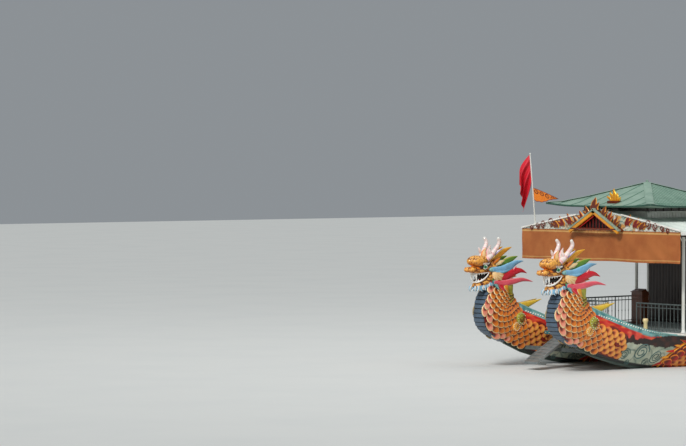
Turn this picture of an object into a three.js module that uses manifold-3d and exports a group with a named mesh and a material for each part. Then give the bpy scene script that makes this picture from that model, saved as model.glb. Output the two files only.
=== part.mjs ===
// A twin-hull excursion boat with dragon prows, in millimetres.
// +X points to the bow, +Y to port and +Z up. The origin is on the waterline, amidships.
import * as THREE from 'three';
import { mergeVertices } from 'three/addons/utils/BufferGeometryUtils.js';
import Module from 'manifold-3d';

const wasm = await Module();
wasm.setup();

// Driving dimensions
const HORN_TIP_X = 7500; // the fore-and-aft station from which "aft" is measured
const HULL_OFFSET = 1400; // from the boat's centreline to each hull's centreline
const TOUCH_GAP = 0.3; // between pieces that rest on each other
const SIDES = [
  { side: 'port', sign: 1 },
  { side: 'starboard', sign: -1 },
];

const DECK_BOTTOM = 900;
const DECK_THICKNESS = 60;
const DECK_OVERHANG = 30;
const DECK_TOP = DECK_BOTTOM + TOUCH_GAP + DECK_THICKNESS;
const FLOOR = DECK_TOP + TOUCH_GAP;
const CEILING = 3660;
const EAVE_TOP = 3720;
const RIDGE_TOP = 4270;
const ROOF_HALF_WIDTH = 3030;
const ROOF_FRONT_AFT = 2800;
const ROOF_REAR_AFT = 13800;

const POST_RADIUS = 45;
const POST_Y = 2300;
const POST_FRONT_AFT = 3700;
const POST_REAR_AFT = 6700;

const CABIN_HALF_WIDTH = 2250;
const CABIN_FRONT_AFT = 7100;
const CABIN_REAR_AFT = 13300;
const WALL_THICKNESS = 50;

// Hull sections from the neck to the tail. Each lies in a plane through its foot, on the keel line,
// and its top, on the sheer line. beamAt is the share of the way up at which it is widest.
// [foot aft, foot z, top aft, top z, half keel, half beam, half top, beamAt, keel depth]
const HULL_SECTIONS = [
  [500, 680, 1000, 1710, 125, 300, 100, 0.6, 50],
  [1140, 430, 1450, 1510, 120, 400, 230, 0.75, 60],
  [1970, 210, 2050, 1255, 120, 520, 430, 0.9, 70],
  [2760, 70, 2760, 1035, 130, 640, 620, 0.95, 80],
  [3600, -40, 3600, 900, 140, 780, 780, 1, 90],
  [4400, -150, 4400, 900, 160, 890, 890, 1, 100],
  [5300, -290, 5300, 900, 180, 960, 960, 1, 110],
  [6600, -400, 6600, 900, 200, 1000, 1000, 1, 120],
  [8500, -450, 8500, 900, 200, 1000, 1000, 1, 130],
  [11200, -430, 11200, 900, 200, 990, 990, 1, 150],
  [12600, -340, 12600, 900, 180, 920, 920, 1, 290],
  [13600, -180, 13600, 900, 160, 800, 800, 1, 0],
  [14600, 100, 14400, 1060, 130, 540, 480, 0.9, 0],
  [15400, 500, 15000, 1280, 110, 260, 120, 0.6, 0],
];

// Neck sections from the hull up to the head, with the same columns but for the keel depth
const NECK_SECTIONS = [
  [500, 680, 1000, 1710, 125, 300, 100, 0.6],
  [0, 880, 930, 1760, 140, 290, 90, 0.55],
  [-280, 1080, 880, 1820, 165, 275, 85, 0.5],
  [-400, 1320, 820, 1900, 185, 260, 85, 0.5],
  [-400, 1600, 780, 1990, 190, 250, 90, 0.5],
  [-330, 1880, 760, 2100, 190, 235, 95, 0.5],
  [-230, 2050, 750, 2220, 180, 225, 100, 0.5],
  [-110, 2190, 740, 2340, 170, 215, 110, 0.5],
];

// Tail sections from the hull up to the tail's fin, with the same columns
const TAIL_SECTIONS = [
  [15400, 500, 15000, 1280, 110, 260, 120, 0.6],
  [15780, 900, 15240, 1480, 100, 200, 90, 0.5],
  [15980, 1350, 15480, 1640, 85, 150, 70, 0.5],
  [16020, 1800, 15640, 1850, 70, 115, 60, 0.5],
  [15960, 2150, 15700, 2100, 50, 80, 45, 0.5],
];

// Head sections, upright, with forward measured from the horn tips and z from the waterline.
// A null bottom rests on the neck. The step at the jaw's seat is where the mouth opens.
// [forward, bottom z, top z, half bottom, half beam, half top, beamAt]
const MANE_SEAT = -400;
const JAW_SEAT = 113;
const SKULL_SECTIONS = [
  [MANE_SEAT, null, 2800, 150, 190, 80, 0.5],
  [-250, null, 2900, 165, 230, 110, 0.5],
  [-50, null, 2960, 170, 245, 120, 0.5],
  [JAW_SEAT - 1, null, 2990, 160, 245, 120, 0.5],
  [JAW_SEAT, 2480, 2990, 140, 235, 120, 0.45],
  [320, 2555, 2990, 130, 210, 110, 0.4],
  [480, 2575, 2760, 130, 170, 110, 0.5],
  [720, 2590, 2730, 110, 140, 90, 0.5],
  [810, 2620, 2700, 60, 90, 50, 0.5],
];
const JAW_SECTIONS = [
  [JAW_SEAT + TOUCH_GAP, 2230, 2470, 110, 155, 120, 0.5],
  [300, 2235, 2455, 110, 150, 125, 0.6],
  [480, 2240, 2425, 100, 145, 120, 0.6],
  [620, 2260, 2400, 80, 120, 95, 0.6],
  [710, 2320, 2390, 45, 70, 50, 0.6],
];

// Rounded masses on each side of the skull, with the place of their middle and their half sizes
// [forward, y, z, half length, half width, half height, nose-up tilt in degrees]
const SKULL_LOBES = [
  ['brow', 440, 100, 2905, 310, 155, 150, 4],
  ['nostril', 690, 80, 2690, 190, 95, 88, 6],
  ['cheek', -20, 195, 2500, 215, 85, 150, -10],
];

// Shares of the way up a section at which its sides are sampled
const SECTION_STEPS = [0, 0.12, 0.3, 0.5, 0.7, 0.88, 1];

const MATERIALS = {
  scales: new THREE.MeshStandardMaterial({ color: 0xd98a1e, roughness: 0.55, metalness: 0 }),
  keel: new THREE.MeshStandardMaterial({ color: 0x1f2a24, roughness: 0.7, metalness: 0 }),
  gold: new THREE.MeshStandardMaterial({ color: 0xd9a23c, roughness: 0.5, metalness: 0 }),
  mane: new THREE.MeshStandardMaterial({ color: 0xd84a55, roughness: 0.6, metalness: 0 }),
  deck: new THREE.MeshStandardMaterial({ color: 0xa9aca6, roughness: 0.8, metalness: 0 }),
  steel: new THREE.MeshStandardMaterial({ color: 0x8d9492, roughness: 0.5, metalness: 0.6 }),
  white: new THREE.MeshStandardMaterial({ color: 0xe8e6dc, roughness: 0.6, metalness: 0 }),
  roof: new THREE.MeshStandardMaterial({ color: 0xb9c8bd, roughness: 0.6, metalness: 0.2 }),
  upperRoof: new THREE.MeshStandardMaterial({ color: 0x7fa48f, roughness: 0.6, metalness: 0.2 }),
  olive: new THREE.MeshStandardMaterial({ color: 0x8a7a3a, roughness: 0.6, metalness: 0 }),
  dark: new THREE.MeshStandardMaterial({ color: 0x2c2420, roughness: 0.8, metalness: 0 }),
  wood: new THREE.MeshStandardMaterial({ color: 0x8a4f2a, roughness: 0.6, metalness: 0 }),
  banner: new THREE.MeshStandardMaterial({ color: 0xb86a35, roughness: 0.9, metalness: 0 }),
  redCloth: new THREE.MeshStandardMaterial({ color: 0xd81f2a, roughness: 0.9, metalness: 0 }),
  orangeCloth: new THREE.MeshStandardMaterial({ color: 0xe8912a, roughness: 0.9, metalness: 0 }),
  bronze: new THREE.MeshStandardMaterial({ color: 0xa87b3c, roughness: 0.4, metalness: 0.9 }),
};

// The X of a station that lies the given distance aft of the horn tips
const xOf = (aft) => HORN_TIP_X - aft;

// A closed solid with only positions, its shared vertices merged, ready for a boolean
function toSolid(geometry) {
  const bare = geometry.clone();
  bare.deleteAttribute('normal');
  bare.deleteAttribute('uv');
  const merged = mergeVertices(bare, 1e-3);
  return new wasm.Manifold(new wasm.Mesh({
    numProp: 3,
    vertProperties: new Float32Array(merged.attributes.position.array),
    triVerts: new Uint32Array(merged.index.array),
  }));
}

// The geometry of a boolean's result
function toGeometry(solid) {
  const mesh = solid.getMesh();
  const geometry = new THREE.BufferGeometry();
  geometry.setAttribute('position', new THREE.BufferAttribute(mesh.vertProperties, 3));
  geometry.setIndex(new THREE.BufferAttribute(mesh.triVerts, 1));
  geometry.computeVertexNormals();
  return geometry;
}

// The first geometry joined with the others
function join(first, ...others) {
  return toGeometry(others.reduce((sum, other) => sum.add(toSolid(other)), toSolid(first)));
}

// The first geometry with the others cut away
function cut(first, ...others) {
  return toGeometry(others.reduce((rest, other) => rest.subtract(toSolid(other)), toSolid(first)));
}

// A box between two corners
function boxBetween([x0, y0, z0], [x1, y1, z1]) {
  const box = new THREE.BoxGeometry(x1 - x0, y1 - y0, z1 - z0);
  return box.translate((x0 + x1) / 2, (y0 + y1) / 2, (z0 + z1) / 2);
}

// A closed skin over a stack of rings that have the same number of points
function loft(rings) {
  const count = rings[0].length;
  const points = rings.flat();
  const capCentres = [rings[0], rings.at(-1)].map((ring) => (
    ring.reduce((sum, point) => sum.add(point), new THREE.Vector3()).divideScalar(count)
  ));
  const firstCap = points.length;
  points.push(...capCentres);
  const faces = [];
  for (let row = 0; row < rings.length - 1; row += 1) {
    for (let i = 0; i < count; i += 1) {
      const a = row * count + i;
      const b = row * count + (i + 1) % count;
      faces.push([a, b, b + count], [a, b + count, a + count]);
    }
  }
  const lastRow = (rings.length - 1) * count;
  for (let i = 0; i < count; i += 1) {
    const next = (i + 1) % count;
    faces.push([firstCap, next, i], [firstCap + 1, lastRow + i, lastRow + next]);
  }
  const volume = faces.reduce((sum, [a, b, c]) => (
    sum + points[a].dot(points[b].clone().cross(points[c]))
  ), 0);
  const outward = volume > 0 ? faces : faces.map(([a, b, c]) => [a, c, b]);
  const geometry = new THREE.BufferGeometry().setFromPoints(points);
  geometry.setIndex(outward.flat());
  geometry.computeVertexNormals();
  return geometry;
}

// The closed ring of a hull, neck, tail or head section
function sectionRing(foot, top, halfFoot, halfBeam, halfTop, beamAt) {
  const halfAt = (share) => (share <= beamAt
    ? halfFoot + (halfBeam - halfFoot) * Math.sin((share / beamAt) * Math.PI / 2)
    : halfTop + (halfBeam - halfTop) * Math.cos(((share - beamAt) / (1 - beamAt)) * Math.PI / 2));
  const pointAt = (share, sign) => {
    const point = foot.clone().lerp(top, share);
    point.y = sign * halfAt(share);
    return point;
  };
  const up = SECTION_STEPS.map((share) => pointAt(share, -1));
  const down = SECTION_STEPS.map((share) => pointAt(share, 1)).reverse();
  return [...up, ...down];
}

// A body over slanted sections: the hull, the neck or the tail
function sectionLoft(sections) {
  return loft(sections.map(([footAft, footZ, topAft, topZ, halfKeel, halfBeam, halfTop, beamAt]) => (
    sectionRing(
      new THREE.Vector3(xOf(footAft), 0, footZ),
      new THREE.Vector3(xOf(topAft), 0, topZ),
      halfKeel,
      halfBeam,
      halfTop,
      beamAt,
    )
  )));
}

// The height of the neck's flat top, on which the head rests
function neckTopAt(forward) {
  const [footAft, footZ, topAft, topZ] = NECK_SECTIONS.at(-1);
  return footZ + (topZ - footZ) * ((forward + footAft) / (footAft - topAft)) + 2 * TOUCH_GAP;
}

// A body over upright sections: the skull or the lower jaw
function headLoft(sections) {
  return loft(sections.map(([forward, bottomZ, topZ, halfBottom, halfBeam, halfTop, beamAt]) => (
    sectionRing(
      new THREE.Vector3(xOf(-forward), 0, bottomZ ?? neckTopAt(forward)),
      new THREE.Vector3(xOf(-forward), 0, topZ),
      halfBottom,
      halfBeam,
      halfTop,
      beamAt,
    )
  )));
}

// A round bar along a curve, from one radius to another
function taperedBar(curve, startRadius, endRadius, steps, sides) {
  const frames = curve.computeFrenetFrames(steps, false);
  const rings = [];
  for (let i = 0; i <= steps; i += 1) {
    const centre = curve.getPointAt(i / steps);
    const radius = THREE.MathUtils.lerp(startRadius, endRadius, i / steps);
    const ring = [];
    for (let k = 0; k < sides; k += 1) {
      const angle = (k / sides) * 2 * Math.PI;
      ring.push(centre.clone()
        .addScaledVector(frames.normals[i], radius * Math.cos(angle))
        .addScaledVector(frames.binormals[i], radius * Math.sin(angle)));
    }
    rings.push(ring);
  }
  return loft(rings);
}

// A plate with an outline in the XZ plane, [forward, z], centred on Y
function sidePlate(outline, thickness) {
  const shape = new THREE.Shape(outline.map(([forward, z]) => new THREE.Vector2(forward, z)));
  return sidePlateOf(shape, thickness);
}

// The same from a shape that is already drawn
function sidePlateOf(shape, thickness, curveSegments = 6) {
  const plate = new THREE.ExtrudeGeometry(shape, { depth: thickness, bevelEnabled: false, curveSegments });
  return plate.rotateX(Math.PI / 2).translate(0, thickness / 2, 0);
}

// A plate with an outline in the YZ plane, from the X of its back to its front
function frontPlateOf(shape, backX, frontX, curveSegments = 6) {
  const plate = new THREE.ExtrudeGeometry(shape, {
    depth: frontX - backX,
    bevelEnabled: false,
    curveSegments,
  });
  return plate.rotateX(Math.PI / 2).rotateZ(Math.PI / 2).translate(backX, 0, 0);
}

// A flame outline that stands on the origin, with its tip leaning sideways
function flameShape(width, height, lean) {
  const half = width / 2;
  const shape = new THREE.Shape();
  shape.moveTo(-half, 0);
  shape.quadraticCurveTo(-half * 1.3, height * 0.45, lean, height);
  shape.quadraticCurveTo(half * 0.5 + lean * 0.3, height * 0.6, half * 1.05, height * 0.38);
  shape.quadraticCurveTo(half * 1.1, height * 0.15, half, 0);
  shape.closePath();
  return shape;
}

const boat = new THREE.Group();

function addPiece(name, geometry, material, parent = boat) {
  const mesh = new THREE.Mesh(geometry, material);
  mesh.name = name;
  parent.add(mesh);
  return mesh;
}

// A group for the pieces that are the same on each hull
function hullGroup(sign) {
  const group = new THREE.Group();
  group.position.y = sign * HULL_OFFSET;
  boat.add(group);
  return group;
}

// Hull, with the fin that points aft from the root of the neck, and its front bollard
const FIN_OUTLINE = [[-1050, 1600], [-1190, 1720], [-1480, 1765], [-1890, 1830], [-1560, 1700], [-1400, 1450]];
const FIN_THICKNESS = 60;

// Mooring bollards: the front one stands on each hull's crest, the aft ones stand on the deck
const BOLLARD_RADIUS = 60;
const BOLLARD_Y = 1400;
const FRONT_BOLLARD = { aft: 3170, foot: 930, top: 1340 };
const AFT_BOLLARD = { aft: 13450, foot: DECK_BOTTOM + DECK_THICKNESS / 2, top: DECK_TOP + 430 };

function bollardGeometry({ aft, foot, top }) {
  return new THREE.CylinderGeometry(BOLLARD_RADIUS, BOLLARD_RADIUS, top - foot, 16)
    .rotateX(Math.PI / 2)
    .translate(xOf(aft), 0, (foot + top) / 2);
}

function hullGeometry() {
  const fin = sidePlate(FIN_OUTLINE.map(([forward, z]) => [xOf(-forward), z]), FIN_THICKNESS);
  return join(sectionLoft(HULL_SECTIONS), fin, bollardGeometry(FRONT_BOLLARD));
}

// Keel bar under the hull, deeper at the skeg, with the plate that carries the rudder
const KEEL_THICKNESS = 60;
const SKEG_END_AFT = 13500;
const SKEG_BOTTOM = -660;
const RUDDER_PLATE_BOTTOM = -300;
const RUDDER_PLATE_END_AFT = 14300;

function footZAt(aft) {
  const next = HULL_SECTIONS.findIndex(([footAft]) => footAft >= aft);
  const [aftA, zA] = HULL_SECTIONS[next - 1];
  const [aftB, zB] = HULL_SECTIONS[next];
  return THREE.MathUtils.mapLinear(aft, aftA, aftB, zA, zB);
}

function keelGeometry() {
  const withKeel = HULL_SECTIONS.filter((section) => section[8] > 0);
  const upper = [...HULL_SECTIONS.filter(([footAft]) => footAft < RUDDER_PLATE_END_AFT)
    .map(([footAft, footZ]) => [footAft, footZ]), [RUDDER_PLATE_END_AFT, footZAt(RUDDER_PLATE_END_AFT)]];
  const lower = [
    ...withKeel.map(([footAft, footZ, , , , , , , depth]) => [footAft, footZ - depth]),
    [SKEG_END_AFT, SKEG_BOTTOM],
    [SKEG_END_AFT, RUDDER_PLATE_BOTTOM],
    [RUDDER_PLATE_END_AFT, RUDDER_PLATE_BOTTOM],
  ];
  const outline = [
    ...upper.map(([aft, z]) => [xOf(aft), z - TOUCH_GAP]),
    ...lower.reverse().map(([aft, z]) => [xOf(aft), z]),
  ];
  return sidePlate(outline, KEEL_THICKNESS);
}

// Skull with its brows, nostrils, cheeks, horns and the crest between them
// [forward, y, z] along the middle of the port horn and of its prong
const HORN_LINE = [[240, 150, 2950], [30, 215, 3190], [-115, 255, 3400], [-65, 275, 3545]];
const PRONG_LINE = [[110, 195, 3080], [160, 195, 3180], [230, 190, 3270]];
const HORN_RADII = [66, 36];
const PRONG_RADII = [40, 12];
// The crest's edge as [forward, z]
const CREST_EDGE = [
  [260, 2960], [120, 3190], [60, 3110], [-20, 3240], [-70, 3100], [-170, 3130], [-160, 2900],
];
const CREST_WIDTH = 70;

function headPoint([forward, y, z], sign) {
  return new THREE.Vector3(xOf(-forward), sign * y, z);
}

function lobeGeometry([, forward, y, z, halfLength, halfWidth, halfHeight, tilt], sign) {
  return new THREE.SphereGeometry(1, 14, 10)
    .rotateX(Math.PI / 2)
    .scale(halfLength, halfWidth, halfHeight)
    .rotateY(-THREE.MathUtils.degToRad(tilt))
    .translate(xOf(-forward), sign * y, z);
}

function skullGeometry() {
  const parts = SIDES.flatMap(({ sign }) => {
    const horn = new THREE.CatmullRomCurve3(HORN_LINE.map((point) => headPoint(point, sign)));
    const prong = new THREE.CatmullRomCurve3(PRONG_LINE.map((point) => headPoint(point, sign)));
    return [
      taperedBar(horn, ...HORN_RADII, 7, 8),
      taperedBar(prong, ...PRONG_RADII, 3, 6),
      ...SKULL_LOBES.map((lobe) => lobeGeometry(lobe, sign)),
    ];
  });
  const crest = sidePlate(CREST_EDGE.map(([forward, z]) => [xOf(-forward), z]), CREST_WIDTH);
  return join(headLoft(SKULL_SECTIONS), crest, ...parts);
}

// Lower jaw with the beard under it, as [forward, z]
const BEARD_OUTLINE = [
  [160, 2240], [200, 2160], [250, 2190], [300, 2070], [360, 2150], [420, 2030], [480, 2120],
  [560, 2020], [590, 2110], [650, 1990], [670, 2140], [710, 2080], [715, 2360], [400, 2400],
];
const BEARD_THICKNESS = 200;

function jawGeometry() {
  const beard = sidePlate(BEARD_OUTLINE.map(([forward, z]) => [xOf(-forward), z]), BEARD_THICKNESS);
  return join(headLoft(JAW_SECTIONS), beard);
}

// Mane behind the skull: flat wavy tongues on each side, from the lowest to the highest, and the
// round collar that carries them. Each tongue's middle runs through its four places.
// [y of the middle, half width at the root, [forward, z] four times]
const MANE_TONGUES = [
  [225, 80, [-430, 2430], [-660, 2390], [-960, 2380], [-1390, 2300]],
  [225, 80, [-430, 2530], [-650, 2610], [-900, 2605], [-1140, 2540]],
  [215, 75, [-430, 2690], [-610, 2790], [-840, 2815], [-1020, 2895]],
  [180, 70, [-430, 2840], [-560, 2950], [-720, 2975], [-850, 3030]],
  [120, 70, [-430, 2930], [-470, 3110], [-560, 3170], [-650, 3290]],
];
const COLLAR = { z: 2650, halfWidth: 280, halfHeight: 340, thickness: 80 };
const TONGUE_THICKNESS = 60;
const TONGUE_STEPS = 9;
const TONGUE_BULGE = 0.35;

// The outline of a tongue: full near the root, pointed at the tip
function tongueOutline(halfWidth, places) {
  const middle = new THREE.SplineCurve(places.map(([forward, z]) => new THREE.Vector2(xOf(-forward), z)));
  const edges = { above: [], below: [] };
  for (let i = 0; i < TONGUE_STEPS; i += 1) {
    const share = i / TONGUE_STEPS;
    const point = middle.getPointAt(share);
    const along = middle.getTangentAt(share);
    const reach = halfWidth * (1 - share ** 2) * (1 + TONGUE_BULGE * Math.sin(share * Math.PI));
    edges.above.push([point.x - along.y * reach, point.y + along.x * reach]);
    edges.below.push([point.x + along.y * reach, point.y - along.x * reach]);
  }
  const tip = middle.getPointAt(1);
  return [...edges.above, [tip.x, tip.y], ...edges.below.reverse()];
}

function maneGeometry() {
  const { z, halfWidth, halfHeight, thickness } = COLLAR;
  const collar = new THREE.CylinderGeometry(1, 1, 1, 24)
    .rotateZ(Math.PI / 2)
    .scale(thickness, halfWidth, halfHeight)
    .translate(xOf(-MANE_SEAT) - thickness / 2 - TOUCH_GAP, 0, z);
  const tongues = SIDES.flatMap(({ sign }) => MANE_TONGUES.map(([y, rootHalf, ...places]) => (
    sidePlate(tongueOutline(rootHalf, places), TONGUE_THICKNESS).translate(0, sign * y, 0)
  )));
  return join(collar, ...tongues);
}

// Tail with the flame fin at its end, as [aft, z]
const TAIL_FIN_OUTLINE = [
  [15740, 1960], [15500, 2300], [15620, 2350], [15420, 2700], [15620, 2660], [15560, 3000],
  [15790, 2780], [15850, 3090], [15960, 2760], [16060, 2880], [16050, 2420], [15980, 2000],
];
const TAIL_FIN_THICKNESS = 60;

function tailGeometry() {
  const fin = sidePlate(TAIL_FIN_OUTLINE.map(([aft, z]) => [xOf(aft), z]), TAIL_FIN_THICKNESS);
  return join(sectionLoft(TAIL_SECTIONS), fin).translate(-TOUCH_GAP, 0, 0);
}

// Propeller on the skeg's end
const SHAFT_Z = -480;
const HUB_RADIUS = 38;
const HUB_LENGTH = 120;
const PROPELLER_AFT = SKEG_END_AFT + HUB_LENGTH / 2 + TOUCH_GAP;
const BLADE_REACH = 155;
const BLADE_WIDTH = 110;
const BLADE_THICKNESS = 12;
const BLADE_PITCH = THREE.MathUtils.degToRad(35);
const BLADE_COUNT = 3;

function propellerGeometry() {
  const hub = new THREE.CylinderGeometry(HUB_RADIUS, HUB_RADIUS, HUB_LENGTH, 16).rotateZ(Math.PI / 2);
  const blades = [];
  for (let i = 0; i < BLADE_COUNT; i += 1) {
    const blade = new THREE.CylinderGeometry(0.5, 0.5, 1, 12);
    blade.scale(BLADE_WIDTH, BLADE_THICKNESS, BLADE_REACH).rotateZ(BLADE_PITCH);
    blade.translate(0, 0, BLADE_REACH / 2).rotateX((i / BLADE_COUNT) * 2 * Math.PI);
    blades.push(blade);
  }
  return join(hub, ...blades);
}

// Rudder behind the propeller, hung from the keel's plate
const RUDDER_AXIS_AFT = 13900;
const RUDDER_LEAD = 70;
const RUDDER_CHORD = 380;
const RUDDER_THICKNESS = 40;
const RUDDER_STOCK_RADIUS = 28;
const RUDDER_STOCK_LENGTH = 30;
const RUDDER_BOTTOM = -640;

function rudderGeometry() {
  const top = RUDDER_PLATE_BOTTOM - TOUCH_GAP;
  const bladeTop = top - RUDDER_STOCK_LENGTH;
  const blade = boxBetween(
    [-(RUDDER_CHORD - RUDDER_LEAD), -RUDDER_THICKNESS / 2, RUDDER_BOTTOM],
    [RUDDER_LEAD, RUDDER_THICKNESS / 2, bladeTop],
  );
  const height = top - RUDDER_BOTTOM;
  const stock = new THREE.CylinderGeometry(RUDDER_STOCK_RADIUS, RUDDER_STOCK_RADIUS, height, 16);
  stock.rotateX(Math.PI / 2).translate(0, 0, top - height / 2);
  return join(blade, stock);
}

for (const { side, sign } of SIDES) {
  const group = hullGroup(sign);
  addPiece(`hull_${side}`, hullGeometry(), MATERIALS.scales, group);
  addPiece(`keel_${side}`, keelGeometry(), MATERIALS.keel, group);
  addPiece(`neck_${side}`, sectionLoft(NECK_SECTIONS).translate(TOUCH_GAP, 0, 0), MATERIALS.scales, group);
  addPiece(`skull_${side}`, skullGeometry(), MATERIALS.gold, group);
  addPiece(`jaw_${side}`, jawGeometry(), MATERIALS.gold, group);
  addPiece(`mane_${side}`, maneGeometry(), MATERIALS.mane, group);
  addPiece(`tail_${side}`, tailGeometry(), MATERIALS.scales, group);
  const propeller = addPiece(`propeller_${side}`, propellerGeometry(), MATERIALS.bronze, group);
  propeller.position.set(xOf(PROPELLER_AFT), 0, SHAFT_Z);
  const rudder = addPiece(`rudder_${side}`, rudderGeometry(), MATERIALS.steel, group);
  rudder.position.x = xOf(RUDDER_AXIS_AFT);
}

// Crossbeams between the hulls, cut where they meet the hulls
// [name, aft, z of the middle, length along X, height]
const CROSSBEAMS = [
  ['crossbeam_front', 1200, 510, 100, 100],
  ['crossbeam_middle', 5300, 790, 140, 180],
  ['crossbeam_aft', 12000, 790, 140, 180],
];

for (const [name, aft, z, length, height] of CROSSBEAMS) {
  const bar = boxBetween(
    [xOf(aft) - length / 2, -HULL_OFFSET, z - height / 2],
    [xOf(aft) + length / 2, HULL_OFFSET, z + height / 2],
  );
  const hulls = SIDES.map(({ sign }) => (
    sectionLoft(HULL_SECTIONS).translate(0, sign * (HULL_OFFSET - 2 * TOUCH_GAP), 0)
  ));
  addPiece(name, cut(bar, ...hulls), MATERIALS.steel);
}

// Deck over both hulls, with a tongue between the necks, and its aft bollards
// [aft, half width] of the tongue's edge
const TONGUE_EDGE = [[3600, 600], [2760, 740], [2050, 850], [1600, 900]];

function deckGeometry() {
  const flat = HULL_SECTIONS.filter(([, , , topZ]) => topZ === DECK_BOTTOM);
  const edge = flat.map(([, , topAft, , , halfBeam]) => [topAft, HULL_OFFSET + halfBeam + DECK_OVERHANG]);
  const portEdge = [...TONGUE_EDGE].reverse().concat(edge);
  const outline = [
    ...portEdge.map(([aft, half]) => new THREE.Vector2(xOf(aft), half)),
    ...portEdge.reverse().map(([aft, half]) => new THREE.Vector2(xOf(aft), -half)),
  ];
  const slab = new THREE.ExtrudeGeometry(new THREE.Shape(outline), {
    depth: DECK_THICKNESS,
    bevelEnabled: false,
  }).translate(0, 0, DECK_BOTTOM + TOUCH_GAP);
  const bollards = SIDES.map(({ sign }) => (
    bollardGeometry(AFT_BOLLARD).translate(0, sign * BOLLARD_Y, 0)
  ));
  return join(slab, ...bollards);
}

addPiece('deck', deckGeometry(), MATERIALS.deck);

// Boarding ramp, hinged on the deck's front edge and let down towards the water
const RAMP_LENGTH = 1540;
const RAMP_HALF_WIDTH = 250;
const RAMP_THICKNESS = 50;
const RAMP_ANGLE = THREE.MathUtils.degToRad(28);
const RAMP_HOOK_LENGTH = 260;
const RAMP_PIN_RADIUS = 25;

function rampGeometry() {
  const half = RAMP_THICKNESS / 2;
  const shape = new THREE.Shape();
  shape.absarc(0, 0, RAMP_PIN_RADIUS, Math.PI / 2, Math.PI * 1.5, false);
  shape.lineTo(RAMP_LENGTH - half, -half);
  shape.lineTo(RAMP_LENGTH - RAMP_HOOK_LENGTH, -RAMP_HOOK_LENGTH * 0.55 - half);
  shape.lineTo(RAMP_LENGTH - RAMP_HOOK_LENGTH + half, -RAMP_HOOK_LENGTH * 0.55 - RAMP_THICKNESS - half);
  shape.lineTo(RAMP_LENGTH + RAMP_THICKNESS, -half);
  shape.lineTo(RAMP_LENGTH, half);
  shape.closePath();
  return sidePlateOf(shape, 2 * RAMP_HALF_WIDTH);
}

const ramp = addPiece('boarding_ramp', rampGeometry(), MATERIALS.deck);
const RAMP_PIVOT_X = xOf(TONGUE_EDGE.at(-1)[0]) + RAMP_PIN_RADIUS + TOUCH_GAP;
const RAMP_PIVOT_Z = DECK_BOTTOM + DECK_THICKNESS / 2;
ramp.position.set(RAMP_PIVOT_X, 0, RAMP_PIVOT_Z);
ramp.rotation.y = RAMP_ANGLE;

// Pavilion posts
for (const { side, sign } of SIDES) {
  for (const [place, aft] of [['front', POST_FRONT_AFT], ['rear', POST_REAR_AFT]]) {
    const height = CEILING - TOUCH_GAP - FLOOR;
    const post = new THREE.CylinderGeometry(POST_RADIUS, POST_RADIUS, height, 16).rotateX(Math.PI / 2);
    const mesh = addPiece(`post_${place}_${side}`, post, MATERIALS.white);
    mesh.position.set(xOf(aft), sign * POST_Y, FLOOR + height / 2);
  }
}

// Railings: a flat grille with a hand rail, a second rail, balusters and a toe rail
const RAIL_THICKNESS = 30;
const RAIL_HEIGHT = 770;
const HAND_RAIL_HEIGHT = 40;
const SECOND_RAIL_TOP = 655;
const SECOND_RAIL_HEIGHT = 25;
const TOE_RAIL_HEIGHT = 40;
const BALUSTER_WIDTH = 18;
const BALUSTER_PITCH = 140;
const GATE_HALF_WIDTH = 550;
const POST_CLEARANCE = POST_RADIUS + TOUCH_GAP;

// A railing of the given length along X, from the origin, centred on Y
function railingGeometry(length) {
  const half = RAIL_THICKNESS / 2;
  const span = length - BALUSTER_WIDTH;
  const bays = Math.round(span / BALUSTER_PITCH);
  const pitch = span / bays;
  const gaps = [];
  for (let i = 0; i < bays; i += 1) {
    const left = BALUSTER_WIDTH + i * pitch;
    const right = left + pitch - BALUSTER_WIDTH;
    gaps.push(boxBetween(
      [left, -RAIL_THICKNESS, TOE_RAIL_HEIGHT],
      [right, RAIL_THICKNESS, SECOND_RAIL_TOP - SECOND_RAIL_HEIGHT],
    ));
    gaps.push(boxBetween(
      [left, -RAIL_THICKNESS, SECOND_RAIL_TOP],
      [right, RAIL_THICKNESS, RAIL_HEIGHT - HAND_RAIL_HEIGHT],
    ));
  }
  return cut(boxBetween([0, -half, 0], [length, half, RAIL_HEIGHT]), ...gaps);
}

const SIDE_RAILING_LENGTH = POST_REAR_AFT - POST_FRONT_AFT - 2 * POST_CLEARANCE;
const FRONT_RAILING_LENGTH = POST_Y - POST_CLEARANCE - GATE_HALF_WIDTH;

for (const { side, sign } of SIDES) {
  const along = addPiece(`railing_${side}`, railingGeometry(SIDE_RAILING_LENGTH), MATERIALS.steel);
  along.position.set(xOf(POST_REAR_AFT) + POST_CLEARANCE, sign * POST_Y, FLOOR);
  const across = addPiece(`railing_front_${side}`, railingGeometry(FRONT_RAILING_LENGTH), MATERIALS.steel);
  across.position.set(xOf(POST_FRONT_AFT), sign * GATE_HALF_WIDTH, FLOOR);
  across.rotation.z = sign * Math.PI / 2;
}

// Helm pedestal and steering wheel
const HELM_AFT = 6000;
const HELM_Y = -1500;
const PEDESTAL_SIZE = { x: 260, y: 420, z: 900 };
const WHEEL_Z = 1950 - 250;
const WHEEL_RADIUS = 230;
const WHEEL_TUBE = 16;
const WHEEL_HUB_RADIUS = 36;
const WHEEL_HUB_LENGTH = 60;
const SPOKE_COUNT = 6;

const pedestal = addPiece(
  'helm_pedestal',
  new THREE.BoxGeometry(PEDESTAL_SIZE.x, PEDESTAL_SIZE.y, PEDESTAL_SIZE.z),
  MATERIALS.wood,
);
pedestal.position.set(xOf(HELM_AFT), HELM_Y, FLOOR + PEDESTAL_SIZE.z / 2);

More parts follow.
